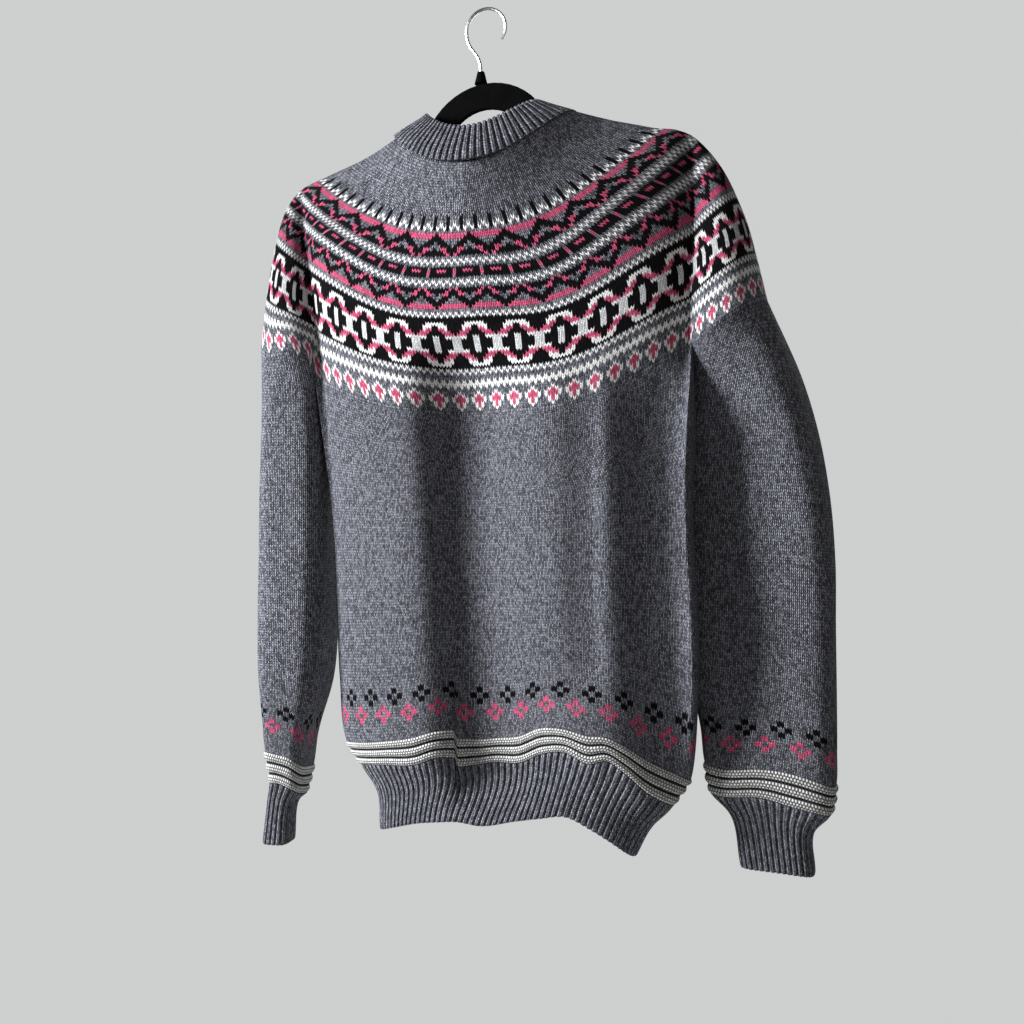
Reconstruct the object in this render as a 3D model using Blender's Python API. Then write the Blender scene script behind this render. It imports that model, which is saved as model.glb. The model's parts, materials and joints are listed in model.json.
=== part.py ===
"""A round-yoke alpaca sweater hanging on a slim flocked hanger.

Metres, +Z up. The hanger lies in the XZ plane and the front of the sweater faces -Y.
The origin is where the hook hangs: the inside of its bend. Left and right are the
wearer's, so the left sleeve is on +X.

Every piece of cloth is a wall through rings. A ring is worked out from one row of a
table: how far it reaches to each side, how high it lies and how far it swells.
"""

from collections import namedtuple
import math

import bmesh
import bpy
import numpy as np
from mathutils import Vector

COLLECTION = "alpaca_sweater_on_hanger"

# ---- driving sizes (metres) ----
CLOTH = 0.0025                 # thickness of the plain knit
SEAM_GAP = 0.0003              # between two pieces at a seam
RIDGE_RISE = 0.0022            # how far a pale ridge stands out
RIDGES = 3                     # pale ridges above each hem and cuff

HANGER_THICK = 0.005
HANGER_HALF = 0.192            # centre to the tip of an arm
HANGER_TOP = -0.070            # top of the raised middle
HUMP_RADIUS = 0.065            # radius of the raised middle
HUMP_HALF = 0.055              # where the raised middle meets the arm
ARM_X = 0.087                  # a place on the arm's top edge ...
ARM_Z = -0.1172                # ... and its height
ARM_FALL = 0.35                # how far an arm falls for each metre outwards
ARM_DEEP = 0.018               # height of an arm
ARM_TILT = 0.042               # how far the left arm stands higher for each metre outwards
TIP_RADIUS = 0.009

WIRE = 0.003                   # thickness of the hook's wire
HOOK_RADIUS = 0.0195           # bend of the hook, to the wire's middle
HOOK_FOOT = -0.005             # how far beside the hook's bend its foot stands
HOOK_END = math.radians(-35)   # where the open end stops, below the horizontal
FERRULE_BASE = 0.0062
FERRULE_TOP = 0.0034
FERRULE_HIGH = 0.0112

# ---- stitches round the garment, which share out each ring ----
FRONT_STITCHES = 132           # the front of the yoke between the two armholes
ARM_STITCHES = 84              # the yoke over one arm
BRIDGE_STITCHES = 18           # cast on under each arm
BODY_STITCHES = 2 * (FRONT_STITCHES + BRIDGE_STITCHES)
SLEEVE_STITCHES = ARM_STITCHES + BRIDGE_STITCHES

# ---- faces round a ring ----
BODY_STEPS = 12                # from the middle of the front to the armhole
ARM_STEPS = 6                  # from the armhole to the top of the arm
BRIDGE_STEPS = 4               # along the underarm
QUARTER = BODY_STEPS + ARM_STEPS
ARMHOLE = FRONT_STITCHES / (FRONT_STITCHES + ARM_STITCHES)

# Rings of the collar and the yoke. right, left: where the ring crosses the top of each
# arm; right_z, left_z: its height there; front_z, back_z: its height in the middle;
# front, back: how far the middle swells; body_right, body_left: half width of the body's
# swell; arm: how far the sleeve swells; full: 0 like a tent to 1 round; flat: half width
# of the part that lies across the hanger; middle: where the middle of the front is.
Ring = namedtuple("Ring", "right right_z left left_z front_z back_z front back "
                          "body_right body_left arm full flat middle")
RINGS = (
    Ring(.0560, -.0970, .0560, -.0955, -.1290, -.1020, .060, .046, .0560, .0560, .0055, .85, .0055, .000),
    Ring(.0700, -.1065, .0700, -.1015, -.1450, -.1180, .066, .050, .0700, .0700, .0055, .85, .0055, .000),
    Ring(.0880, -.1163, .0890, -.1085, -.1645, -.1350, .071, .054, .0880, .0890, .0055, .80, .0055, .000),
    Ring(.1240, -.1320, .1240, -.1205, -.1880, -.1570, .069, .055, .1240, .1240, .0055, .55, .0055, .000),
    Ring(.1600, -.1440, .1600, -.1310, -.2140, -.1820, .067, .056, .1600, .1600, .0060, .50, .0060, .002),
    Ring(.1910, -.1550, .1940, -.1405, -.2480, -.2150, .067, .058, .1880, .1920, .0090, .60, .0060, .004),
    Ring(.2085, -.1790, .2225, -.1725, -.2800, -.2470, .068, .060, .1860, .2020, .0230, .75, .0070, .007),
    Ring(.2180, -.2150, .2425, -.2160, -.3150, -.2820, .069, .062, .1790, .2030, .0350, .90, .0080, .010),
    Ring(.2245, -.2570, .2530, -.2540, -.3490, -.3160, .070, .064, .1720, .2040, .0440, 1.0, .0090, .013),
    Ring(.2295, -.2985, .2620, -.2880, -.3830, -.3500, .071, .065, .1660, .2040, .0500, 1.0, .0100, .015),
)
NECK_RING = 2                  # where the collar ends and the yoke starts
SWELL_CORNER = 0.006           # how softly the body's swell meets the sleeve's
ARM_REACH = 0.58               # half width of the sleeve's swell, as a share of its stretch
VALLEY = 0.985                 # where the armhole's valley lies, as a share of the body's half
SLEEVE_FORMED = 0.030          # swell of a sleeve from which the armhole keeps to the valley
UNDERARM_SAG = 0.022           # how far the underarm hangs below the armhole's ends
UNDERARM_CLEAR = 0.0008        # body and sleeve stay this far each side of that line

# Sections of the body, from the underarm down. middle, half: centre and half width;
# front, back: how far it swells; keep: share of the yoke's last ring still in the shape;
# right_droop, left_droop: how much lower each side hangs than the middle of the front.
Body = namedtuple("Body", "z middle half front back keep right_droop left_droop")
BODY = (
    Body(-.412, .0180, .176, .071, .065, .55, .000, .000),
    Body(-.455, .0185, .175, .072, .066, .25, .000, .000),
    Body(-.510, .0200, .174, .073, .066, .08, .002, .002),
    Body(-.570, .0210, .173, .073, .066, .00, .004, .005),
    Body(-.630, .0225, .171, .071, .064, .00, .007, .010),
    Body(-.684, .0240, .166, .068, .062, .00, .010, .016),
    Body(-.712, .0255, .152, .064, .058, .00, .012, .022),
    Body(-.735, .0260, .135, .059, .054, .00, .012, .023),
    Body(-.760, .0200, .126, .057, .052, .00, .020, .029),
)
BODY_WELT = (5, 6)             # rows that the pale ridges lie between

# Sections of a sleeve. x, y: its middle; half_x, half_y: its half widths; turn: degrees that
# its inner edge is turned back; keep: as on the body; tilt: how much lower its outer edge
# hangs than its inner edge.
Sleeve = namedtuple("Sleeve", "z x half_x y half_y turn keep tilt")
LEFT_SLEEVE = (
    Sleeve(-.362, .2505, .0510, .012, .046, 6, .30, .004),
    Sleeve(-.410, .2535, .0560, .020, .040, 9, .10, .004),
    Sleeve(-.460, .2530, .0620, .025, .035, 10, .03, .004),
    Sleeve(-.520, .2550, .0630, .028, .032, 10, .00, .004),
    Sleeve(-.580, .2570, .0625, .029, .030, 10, .00, .005),
    Sleeve(-.640, .2590, .0615, .027, .029, 8, .00, .007),
    Sleeve(-.690, .2605, .0600, .024, .028, 6, .00, .008),
    Sleeve(-.722, .2612, .0585, .022, .028, 4, .00, .008),
    Sleeve(-.745, .2645, .0515, .020, .026, 3, .00, .007),
    Sleeve(-.761, .2675, .0390, .018, .024, 2, .00, .006),
    Sleeve(-.801, .2705, .0315, .016, .021, 0, .00, .002),
)
RIGHT_SLEEVE = (
    Sleeve(-.362, .2000, .0330, .010, .048, 0, .35, .000),
    Sleeve(-.410, .2005, .0350, .014, .052, 0, .12, .000),
    Sleeve(-.460, .2015, .0360, .016, .055, 0, .03, .000),
    Sleeve(-.520, .2020, .0365, .017, .056, 0, .00, .000),
    Sleeve(-.580, .2025, .0360, .015, .056, 0, .00, .000),
    Sleeve(-.640, .2037, .0330, .012, .053, 0, .00, .001),
    Sleeve(-.690, .2096, .0240, .010, .041, 0, .00, .001),
    Sleeve(-.721, .2110, .0210, .010, .036, 0, .00, .001),
    Sleeve(-.746, .2126, .0155, .010, .027, 0, .00, .001),
    Sleeve(-.764, .2185, .0130, .010, .022, 0, .00, .001),
    Sleeve(-.806, .2234, .0130, .010, .023, 0, .00, .000),
)
SLEEVE_WELT = (7, 8)

# The largest folds: soft upright troughs. x_top, x_low: where each starts and ends;
# z_top, z_low: their heights; wide: half width; deep: depth; face: -1 front, +1 back.
Fold = namedtuple("Fold", "x_top z_top x_low z_low wide deep face")
FOLDS = (
    Fold(-.016, -.330, -.012, -.745, .019, .024, -1),
    Fold(.160, -.330, .152, -.730, .014, .018, -1),
    Fold(.060, -.345, .066, -.470, .014, .009, -1),
    Fold(-.070, -.350, -.058, -.740, .019, .020, 1),
    Fold(.040, -.330, .046, -.700, .018, .022, 1),
    Fold(.128, -.360, .118, -.745, .016, .016, 1),
)
FOLD_FADE = 0.045              # length over which a fold fades in and out


def swell(share, full):
    """Height of a swell, 1 in the middle and 0 at the edge, between tent and round."""
    share = np.clip(share, 0.0, 1.0)
    tent = 1.0 - share ** 1.3
    rounded = np.sqrt(1.0 - share ** 2.6)
    return (1.0 - full) * tent + full * rounded


def higher(first, second):
    """The larger of two swells, with a soft corner where they meet."""
    apart = np.sqrt((first - second) ** 2 + SWELL_CORNER ** 2)
    return 0.5 * (first + second + apart - SWELL_CORNER)


def fold_shift(points, middle_y):
    """Points moved inwards by the folds on their own face of the garment."""
    moved = points.copy()
    x, y, z = points[..., 0], points[..., 1], points[..., 2]
    for fold in FOLDS:
        along = np.clip((fold.z_top - z) / (fold.z_top - fold.z_low), 0.0, 1.0)
        centre = fold.x_top + (fold.x_low - fold.x_top) * along
        into = np.clip((fold.z_top - z) / FOLD_FADE, 0.0, 1.0)
        out = np.clip((z - fold.z_low) / FOLD_FADE, 0.0, 1.0)
        fade = into * into * (3 - 2 * into) * out * out * (3 - 2 * out)
        side = np.clip((y - middle_y) * fold.face / 0.02, 0.0, 1.0)
        trough = np.exp(-((x - centre) / fold.wide) ** 2)
        moved[..., 1] -= fold.face * fold.deep * trough * fade * side
    return moved


def even(points, shares):
    """Points at the given shares of the length of a line through many points."""
    steps = np.linalg.norm(np.diff(points, axis=0), axis=1)
    reach = np.concatenate(([0.0], np.cumsum(steps)))
    wanted = np.asarray(shares) * reach[-1]
    return np.stack([np.interp(wanted, reach, points[:, axis]) for axis in range(3)], axis=1)


def quarter_shares(line, valley_x, weight):
    """Shares of a quarter ring: even steps to the armhole, then even steps to the arm's top.

    The armhole moves from its share of the stitches to the valley between body and sleeve.
    """
    steps = np.linalg.norm(np.diff(line, axis=0), axis=1)
    before = np.abs(line[1:, 0]) < valley_x
    valley = steps[before].sum() / steps.sum()
    armhole = ARMHOLE + (valley - ARMHOLE) * weight
    body = np.linspace(0.0, armhole, BODY_STEPS + 1)
    arm = np.linspace(armhole, 1.0, ARM_STEPS + 1)
    return np.concatenate((body, arm[1:]))


def ring_quarter(ring, side, face):
    """A quarter of a yoke ring, from the middle of one face to the top of one arm."""
    reach, reach_z = (ring.left, ring.left_z) if side > 0 else (ring.right, ring.right_z)
    body = ring.body_left if side > 0 else ring.body_right
    centre_z = ring.front_z if face < 0 else ring.back_z
    deep = ring.front if face < 0 else ring.back

    turn = np.linspace(0.0, math.pi / 2, 240)
    start = ring.middle
    x = start + (side * reach - start) * np.sin(turn)
    share = np.abs((x - start) / (side * reach - start))
    z = reach_z + (centre_z - reach_z) * (1.0 - share ** 2)

    body_share = np.abs((x - start) / (side * body - start))
    body_swell = (deep - ring.flat) * swell(body_share, ring.full)
    arm_half = ARM_REACH * max(reach - body, 0.001) + 0.001
    arm_middle = side * (reach - arm_half)
    arm_share = (x - arm_middle) / arm_half
    arm_swell = (ring.arm - ring.flat) * np.sqrt(np.clip(1.0 - arm_share ** 2, 0.0, 1.0))
    y = face * (ring.flat + higher(body_swell, arm_swell))
    line = fold_shift(np.stack((x, y, z), axis=1), 0.0)
    weight = min((ring.arm - ring.flat) / SLEEVE_FORMED, 1.0)
    return even(line, quarter_shares(line, body * VALLEY, weight))


def yoke_ring(ring):
    """A whole ring: front to the left arm, back, right arm and front again."""
    front_left = ring_quarter(ring, 1, -1)
    back_left = ring_quarter(ring, 1, 1)
    back_right = ring_quarter(ring, -1, 1)
    front_right = ring_quarter(ring, -1, -1)
    return np.concatenate((front_left, back_left[::-1], back_right[1:], front_right[:0:-1]))


RING_COUNT = 4 * QUARTER + 2
FRONT_COLUMNS = [i % RING_COUNT for i in range(RING_COUNT - BODY_STEPS, RING_COUNT + BODY_STEPS + 1)]
BACK_MIDDLE = 2 * QUARTER + 1
BACK_COLUMNS = list(range(BACK_MIDDLE - BODY_STEPS, BACK_MIDDLE + BODY_STEPS + 1))
LEFT_ARM_COLUMNS = list(range(BODY_STEPS, BACK_MIDDLE - BODY_STEPS + 1))
RIGHT_ARM_COLUMNS = list(range(BACK_MIDDLE + BODY_STEPS, RING_COUNT - BODY_STEPS + 1))


def off_armhole(line):
    """A run of ring points with its ends drawn in along the ring, clear of the armholes."""
    drawn = line.copy()
    for end, inner in ((0, 1), (-1, -2)):
        way = line[inner] - line[end]
        drawn[end] += way / np.linalg.norm(way) * UNDERARM_CLEAR
    return drawn


def bridge(start, end):
    """The inner points of an underarm line."""
    share = np.linspace(0.0, 1.0, BRIDGE_STEPS + 1)[1:-1, None]
    line = start + (end - start) * share
    line[:, 2] -= UNDERARM_SAG * 4 * share[:, 0] * (1 - share[:, 0])
    return line


def lathe_line(row, side):
    """A section as a closed line of many points, with its start at the front or outer edge."""
    turn = np.linspace(0.0, 2 * math.pi, 721)
    if isinstance(row, Body):
        x = row.middle + row.half * np.sin(turn)
        y = np.where(np.cos(turn) > 0, -row.front, -row.back) * np.cos(turn)
        droop = np.where(np.sin(turn) > 0, row.left_droop, row.right_droop)
        z = row.z - droop * np.sin(turn) ** 2
    else:
        back = math.radians(row.turn)
        out = row.half_x * np.cos(turn)
        across = side * row.half_y * np.sin(turn)
        x = side * row.x + side * out * math.cos(back) + across * math.sin(back) * side
        y = row.y - out * math.sin(back) + across * math.cos(back)
        z = row.z - row.tilt * np.cos(turn)
    return np.stack((x, y, z), axis=1)


def section(row, side, shares):
    """A section's points at the given shares of the way round."""
    line = lathe_line(row, side)
    return even(line, np.mod(shares, 1.0))


def tube_rows(top, rows, side, shares):
    """Rings from a top ring down through the sections of a table."""
    rings = [top]
    level = top.copy()
    level[:, 2] -= top[:, 2].mean()
    for row in rows:
        plain = section(row, side, shares)
        hung = level + np.array((0.0, 0.0, row.z))
        rings.append(row.keep * hung + (1.0 - row.keep) * plain)
    return np.stack(rings)


def body_shares():
    front = FRONT_STITCHES / BODY_STITCHES
    under = BRIDGE_STITCHES / BODY_STITCHES
    across = np.linspace(-0.5, 0.5, 2 * BODY_STEPS + 1) * front
    below = np.linspace(0.0, 1.0, BRIDGE_STEPS + 1)[1:-1] * under
    return np.concatenate((across, front / 2 + below, across + 0.5, 0.5 + front / 2 + below))


def sleeve_shares():
    over = ARM_STITCHES / SLEEVE_STITCHES
    under = BRIDGE_STITCHES / SLEEVE_STITCHES
    across = np.linspace(-0.5, 0.5, 2 * ARM_STEPS + 2) * over
    below = np.linspace(0.0, 1.0, BRIDGE_STEPS + 1)[1:-1] * under
    return np.concatenate((across, over / 2 + below))


def body_top(last_ring):
    """The body's first ring: the yoke's front and back, and an underarm line at each side."""
    front = off_armhole(last_ring[FRONT_COLUMNS])
    back = off_armhole(last_ring[BACK_COLUMNS])
    left = bridge(front[-1], back[0])
    right = bridge(back[-1], front[0])
    return np.concatenate((front, left, back, right))


def sleeve_top(last_ring, columns):
    """A sleeve's first ring: the yoke over one arm, and the underarm line back."""
    over = off_armhole(last_ring[columns])
    return np.concatenate((over, bridge(over[-1], over[0])))


# ---- walls ----

def face_normals(grid, closed):
    """Outward normals of the quads of a grid of rings."""
    right = np.roll(grid, -1, axis=1)
    first = right[1:] - grid[:-1]
    second = grid[1:] - right[:-1]
    normal = np.cross(first, second)
    if not closed:
        normal = normal[:, :-1]
    return normal / np.maximum(np.linalg.norm(normal, axis=2, keepdims=True), 1e-12)


def corner_faces(faces, shape, closed):
    """For each of the four faces at a point: its normal, or zero where there is none."""
    rows, columns = shape
    found = []
    for row_step in (0, 1):
        for column_step in (0, 1):
            spread = np.zeros((rows, columns, 3))
            place = slice(row_step, row_step + rows - 1)
            if closed:
                spread[place] = np.roll(faces, column_step, axis=1)
            else:
                spread[place, column_step:column_step + columns - 1] = faces
            found.append(spread)
    return np.stack(found)


def point_normals(grid, closed):
    """Normals at the points, each as long as a wall of thickness 1 reaches along it."""
    corners = corner_faces(face_normals(grid, closed), grid.shape[:2], closed)
    total = corners.sum(axis=0)
    normal = total / np.maximum(np.linalg.norm(total, axis=2, keepdims=True), 1e-12)
    there = np.linalg.norm(corners, axis=3) > 0.5
    lean = (corners * normal).sum(axis=3).sum(axis=0) / np.maximum(there.sum(axis=0), 1)
    return normal / np.maximum(lean, 0.75)[..., None]


def outward(grid, normals):
    """The normals, turned if they point into the garment."""
    middle = grid.mean(axis=1, keepdims=True)
    side = np.einsum("rck,rck->", grid - middle, normals)
    return normals if side > 0 else -normals


def ease(line, gap):
    """A grid's first and last rows moved apart from their neighbours' pieces by half a gap."""
    eased = line.copy()
    for end, inner in ((0, 1), (-1, -2)):
        way = line[inner] - line[end]
        eased[end] += way / np.linalg.norm(way, axis=-1, keepdims=True) * gap / 2
    return eased


def wall_object(name, outer, inner, closed):
    """A closed solid between two grids of points."""
    rows, columns = outer.shape[:2]
    mesh = bpy.data.meshes.new(name)
    shape = bmesh.new()
    skins = []
    for grid in (outer, inner):
        skins.append([[shape.verts.new(Vector(point)) for point in row] for row in grid])
    spans = columns if closed else columns - 1
    for skin in skins:
        for row in range(rows - 1):
            for column in range(spans):
                after = (column + 1) % columns
                corners = (skin[row][column], skin[row][after],
                           skin[row + 1][after], skin[row + 1][column])
                shape.faces.new(corners)
    over, under = skins
    for row in (0, rows - 1):
        for column in range(spans):
            after = (column + 1) % columns
            shape.faces.new((over[row][column], over[row][after],
                             under[row][after], under[row][column]))
    if not closed:
        for column in (0, columns - 1):
            for row in range(rows - 1):
                shape.faces.new((over[row][column], over[row + 1][column],
                                 under[row + 1][column], under[row][column]))
    bmesh.ops.recalc_face_normals(shape, faces=shape.faces)
    shape.to_mesh(mesh)
    shape.free()
    mesh.shade_smooth()
    mesh.set_sharp_from_angle(angle=math.radians(50))
    return bpy.data.objects.new(name, mesh)


def cloth_wall(name, grid, normals, thick, closed=True):
    """A wall of cloth: its outer skin is the grid, its inner skin lies thick inside it."""
    outer = grid
    inner = grid - normals * thick
    outer, inner = ease(outer, SEAM_GAP), ease(inner, SEAM_GAP)
    if not closed:
        outer = ease(outer.transpose(1, 0, 2), SEAM_GAP).transpose(1, 0, 2)
        inner = ease(inner.transpose(1, 0, 2), SEAM_GAP).transpose(1, 0, 2)
    return wall_object(name, outer, inner, closed)


def ridged_rows(rows, span):
    """A table with the rows between two of its rows filled in, and how far each stands out."""
    top, bottom = rows[span[0]], rows[span[1]]
    filled = list(rows[:span[0]])
    rise = [0.0] * len(filled)
    steps = 2 * RIDGES
    for step in range(steps + 1):
        share = step / steps
        values = [a + (b - a) * share for a, b in zip(top, bottom)]
        filled.append(type(top)(*values))
        rise.append(RIDGE_RISE if step % 2 else 0.0)
    filled += rows[span[1] + 1:]
    rise += [0.0] * (len(rows) - span[1] - 1)
    return tuple(filled), np.array([0.0] + rise)


# ---- materials ----

def material(name, colour, roughness, metallic=0.0):
    made = bpy.data.materials.new(name)
    made.use_nodes = True
    shader = made.node_tree.nodes["Principled BSDF"]
    shader.inputs["Base Color"].default_value = (*colour, 1.0)
    shader.inputs["Roughness"].default_value = roughness
    shader.inputs["Metallic"].default_value = metallic
    return made


def keep(made, home, finish):
    """An object put in its collection with its finish."""
    made.data.materials.append(finish)
    home.objects.link(made)
    return made


# ---- pieces ----

def make_yoke(home, finish):
    """Collar and yoke: one run of rings, parted at the neck. Returns the yoke's last rings."""
    rings = np.stack([yoke_ring(ring) for ring in RINGS])
    normals = outward(rings, point_normals(rings, True))
    collar = slice(0, NECK_RING + 1)
    keep(cloth_wall("collar", rings[collar], normals[collar], CLOTH), home, finish["knit"])
    yoke = slice(NECK_RING, len(RINGS))
    keep(cloth_wall("yoke", rings[yoke], normals[yoke], CLOTH), home, finish["knit"])
    return rings, normals


def shared_normals(tube, normals, yoke_normals, columns, places):
    """The tube's first normals taken from the yoke's last, where the two share points."""
    normals = outward(tube, normals)
    normals[0, places] = yoke_normals[-1, columns]
    return normals


def make_body(home, finish, rings, yoke_normals):
    """Front and back panels with their ridges and ribbed hem."""
    rows, rise = ridged_rows(BODY, BODY_WELT)
    top = body_top(rings[-1])
    tube = fold_shift(tube_rows(top, rows, 1, body_shares()), 0.0)
    tube[0] = top
    across = 2 * BODY_STEPS + 1
    places = list(range(across)) + list(range(across + BRIDGE_STEPS - 1, 2 * across + BRIDGE_STEPS - 1))
    normals = shared_normals(tube, point_normals(tube, True), yoke_normals,
                             FRONT_COLUMNS + BACK_COLUMNS, places)
    outer = tube + normals * rise[:, None, None]
    thick = CLOTH + rise[:, None, None]

    half = BRIDGE_STEPS // 2
    count = tube.shape[1]
    seam = across - 1 + half
    front = [(i % count) for i in range(-half, seam + 1)]
    back = [(i % count) for i in range(seam, count - half + 1)]
    welt = slice(BODY_WELT[0] + 1, BODY_WELT[0] + 2 + 2 * RIDGES)
    parts = (("body", slice(0, welt.start + 1), "knit"), ("welt", welt, "ridge"),
             ("hem_rib", slice(welt.stop - 1, len(tube)), "knit"))
    for panel, columns in (("front", front), ("back", back)):
        for part, span, look in parts:
            made = cloth_wall(f"{panel}_{part}", outer[span][:, columns], normals[span][:, columns],
                              thick[span], closed=False)
            keep(made, home, finish[look])


def make_sleeve(home, finish, rings, yoke_normals, side):
    """One sleeve with its ridges and cuff."""
    name, table, columns = (("left", LEFT_SLEEVE, LEFT_ARM_COLUMNS) if side > 0
                            else ("right", RIGHT_SLEEVE, RIGHT_ARM_COLUMNS))
    rows, rise = ridged_rows(table, SLEEVE_WELT)
    top = sleeve_top(rings[-1], columns)
    tube = tube_rows(top, rows, side, sleeve_shares())
    normals = shared_normals(tube, point_normals(tube, True), yoke_normals,
                             columns, list(range(len(columns))))
    outer = tube + normals * rise[:, None, None]
    thick = CLOTH + rise[:, None, None]
    welt = slice(SLEEVE_WELT[0] + 1, SLEEVE_WELT[0] + 2 + 2 * RIDGES)
    parts = (("sleeve", slice(0, welt.start + 1), "knit"), ("sleeve_welt", welt, "ridge"),
             ("cuff", slice(welt.stop - 1, len(tube)), "knit"))
    for part, span, look in parts:
        made = cloth_wall(f"{name}_{part}", outer[span], normals[span], thick[span])
        keep(made, home, finish[look])


def arm_top(x):
    """Height of the top edge of the hanger's arm."""
    return ARM_Z - (x - ARM_X) * ARM_FALL


def hanger_outline():
    """Half of the hanger's outline, from the middle of its top to the middle of its underside."""
    points = []
    hump_z = HANGER_TOP - HUMP_RADIUS
    hump_turn = math.asin(HUMP_HALF / HUMP_RADIUS)
    for step in range(9):
        turn = hump_turn * step / 8
        points.append((HUMP_RADIUS * math.sin(turn), hump_z + HUMP_RADIUS * math.cos(turn)))
    elbow = ARM_X - 0.012
    points.append((elbow, arm_top(elbow)))
    tip_x = HANGER_HALF - TIP_RADIUS
    tip_z = arm_top(tip_x) - TIP_RADIUS
    for step in range(7):
        turn = math.radians(80 - 150 * step / 6)
        points.append((tip_x + TIP_RADIUS * math.cos(turn), tip_z + TIP_RADIUS * math.sin(turn)))
    points.append((elbow + 0.006, arm_top(elbow) - ARM_DEEP))
    inner = HUMP_RADIUS - 0.025
    inner_turn = math.radians(58)
    for step in range(7):
        turn = inner_turn * (1 - step / 6)
        points.append((inner * math.sin(turn), hump_z + inner * math.cos(turn)))
    return points


def make_hanger(home, finish):
    """The flat flocked arms, the ferrule and the wire hook."""
    half = hanger_outline()
    outline = half + [(-x, z) for x, z in half[-2:0:-1]]
    outline = [(x, z + ARM_TILT * x) for x, z in outline]
    curve = bpy.data.curves.new("hanger", "CURVE")
    curve.dimensions = "2D"
    curve.fill_mode = "BOTH"
    curve.extrude = HANGER_THICK / 2
    spline = curve.splines.new("POLY")
    spline.points.add(len(outline) - 1)
    for point, (x, z) in zip(spline.points, outline):
        point.co = (x, z, 0.0, 1.0)
    spline.use_cyclic_u = True
    hanger = keep(bpy.data.objects.new("hanger", curve), home, finish["flock"])
    hanger.rotation_euler = (math.radians(90), 0.0, 0.0)

    cone = bmesh.new()
    bmesh.ops.create_cone(cone, cap_ends=True, segments=20, radius1=FERRULE_BASE,
                          radius2=FERRULE_TOP, depth=FERRULE_HIGH)
    mesh = bpy.data.meshes.new("hanger_ferrule")
    cone.to_mesh(mesh)
    cone.free()
    mesh.shade_smooth()
    mesh.set_sharp_from_angle(angle=math.radians(40))
    ferrule = keep(bpy.data.objects.new("hanger_ferrule", mesh), home, finish["flock"])
    ferrule_top = HANGER_TOP + SEAM_GAP + FERRULE_HIGH
    ferrule.location = (HOOK_FOOT, 0.0, ferrule_top - FERRULE_HIGH / 2)

    wire = bpy.data.curves.new("hanger_hook", "CURVE")
    wire.dimensions = "3D"
    wire.bevel_depth = WIRE / 2
    wire.bevel_resolution = 2
    wire.use_fill_caps = True
    bend_z = WIRE / 2 - HOOK_RADIUS
    foot = np.array((HOOK_FOOT, 0.0, ferrule_top + SEAM_GAP))
    side = np.array((-HOOK_RADIUS, 0.0, bend_z))
    rise = np.array((0.0, 0.0, 0.022))
    route = []
    for step in range(9):
        t = step / 8
        route.append((1 - t) ** 3 * foot + 3 * (1 - t) ** 2 * t * (foot + rise)
                     + 3 * (1 - t) * t * t * (side - rise) + t ** 3 * side)
    for step in range(1, 17):
        turn = math.pi + (HOOK_END - math.pi) * step / 16
        route.append(np.array((HOOK_RADIUS * math.cos(turn), 0.0,
                               bend_z + HOOK_RADIUS * math.sin(turn))))
    spline = wire.splines.new("POLY")
    spline.points.add(len(route) - 1)
    for point, place in zip(spline.points, route):
        point.co = (*place, 1.0)
    keep(bpy.data.objects.new("hanger_hook", wire), home, finish["wire"])


def main():
    for old in list(bpy.data.objects):
        bpy.data.objects.remove(old, do_unlink=True)
    home = bpy.data.collections.new(COLLECTION)
    bpy.context.scene.collection.children.link(home)
    finish = {
        "knit": material("grey_alpaca_knit", (0.115, 0.120, 0.145), 0.95),
        "ridge": material("pale_alpaca_ridges", (0.78, 0.76, 0.72), 0.95),
        "flock": material("black_flock", (0.012, 0.012, 0.013), 0.9),
        "wire": material("steel_wire", (0.55, 0.55, 0.56), 0.3, 1.0),
    }
    rings, yoke_normals = make_yoke(home, finish)
    make_body(home, finish, rings, yoke_normals)
    make_sleeve(home, finish, rings, yoke_normals, 1)
    make_sleeve(home, finish, rings, yoke_normals, -1)
    make_hanger(home, finish)


main()
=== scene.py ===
# %% [markdown]
# # An alpaca sweater on its hanger
# This file dresses a plain model of a knitted sweater that hangs, empty, on a slim hanger.
# The plain model, the frame, says where everything is. Here every piece of cloth is knitted
# again, stitch by stitch, and gets its yarn; the hanger gets its velvet and its steel hook.
# Left and right are the wearer's: the left sleeve is on +X, and the front faces -Y.

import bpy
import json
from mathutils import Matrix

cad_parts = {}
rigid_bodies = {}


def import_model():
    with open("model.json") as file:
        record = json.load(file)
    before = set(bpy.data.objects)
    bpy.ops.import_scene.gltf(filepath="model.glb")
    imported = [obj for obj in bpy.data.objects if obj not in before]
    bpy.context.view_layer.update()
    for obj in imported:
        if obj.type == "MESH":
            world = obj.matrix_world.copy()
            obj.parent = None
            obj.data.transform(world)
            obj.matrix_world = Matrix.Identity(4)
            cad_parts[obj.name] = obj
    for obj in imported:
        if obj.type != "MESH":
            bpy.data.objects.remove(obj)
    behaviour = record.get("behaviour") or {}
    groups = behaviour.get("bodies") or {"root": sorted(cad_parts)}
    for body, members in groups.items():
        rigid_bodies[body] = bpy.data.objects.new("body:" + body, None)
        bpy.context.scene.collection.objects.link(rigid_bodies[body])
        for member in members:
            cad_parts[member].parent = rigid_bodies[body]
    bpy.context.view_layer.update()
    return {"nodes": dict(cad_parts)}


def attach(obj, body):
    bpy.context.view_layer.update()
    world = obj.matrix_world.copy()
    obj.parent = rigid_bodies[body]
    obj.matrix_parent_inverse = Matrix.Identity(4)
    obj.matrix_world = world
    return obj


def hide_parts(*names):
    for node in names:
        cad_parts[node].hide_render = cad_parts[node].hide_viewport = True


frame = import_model()

from collections import namedtuple
from functools import partialmethod
import json
import math

import bpy
import numpy as np
from mathutils import Vector

print("frame:", ", ".join(sorted(frame["nodes"])))

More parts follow.
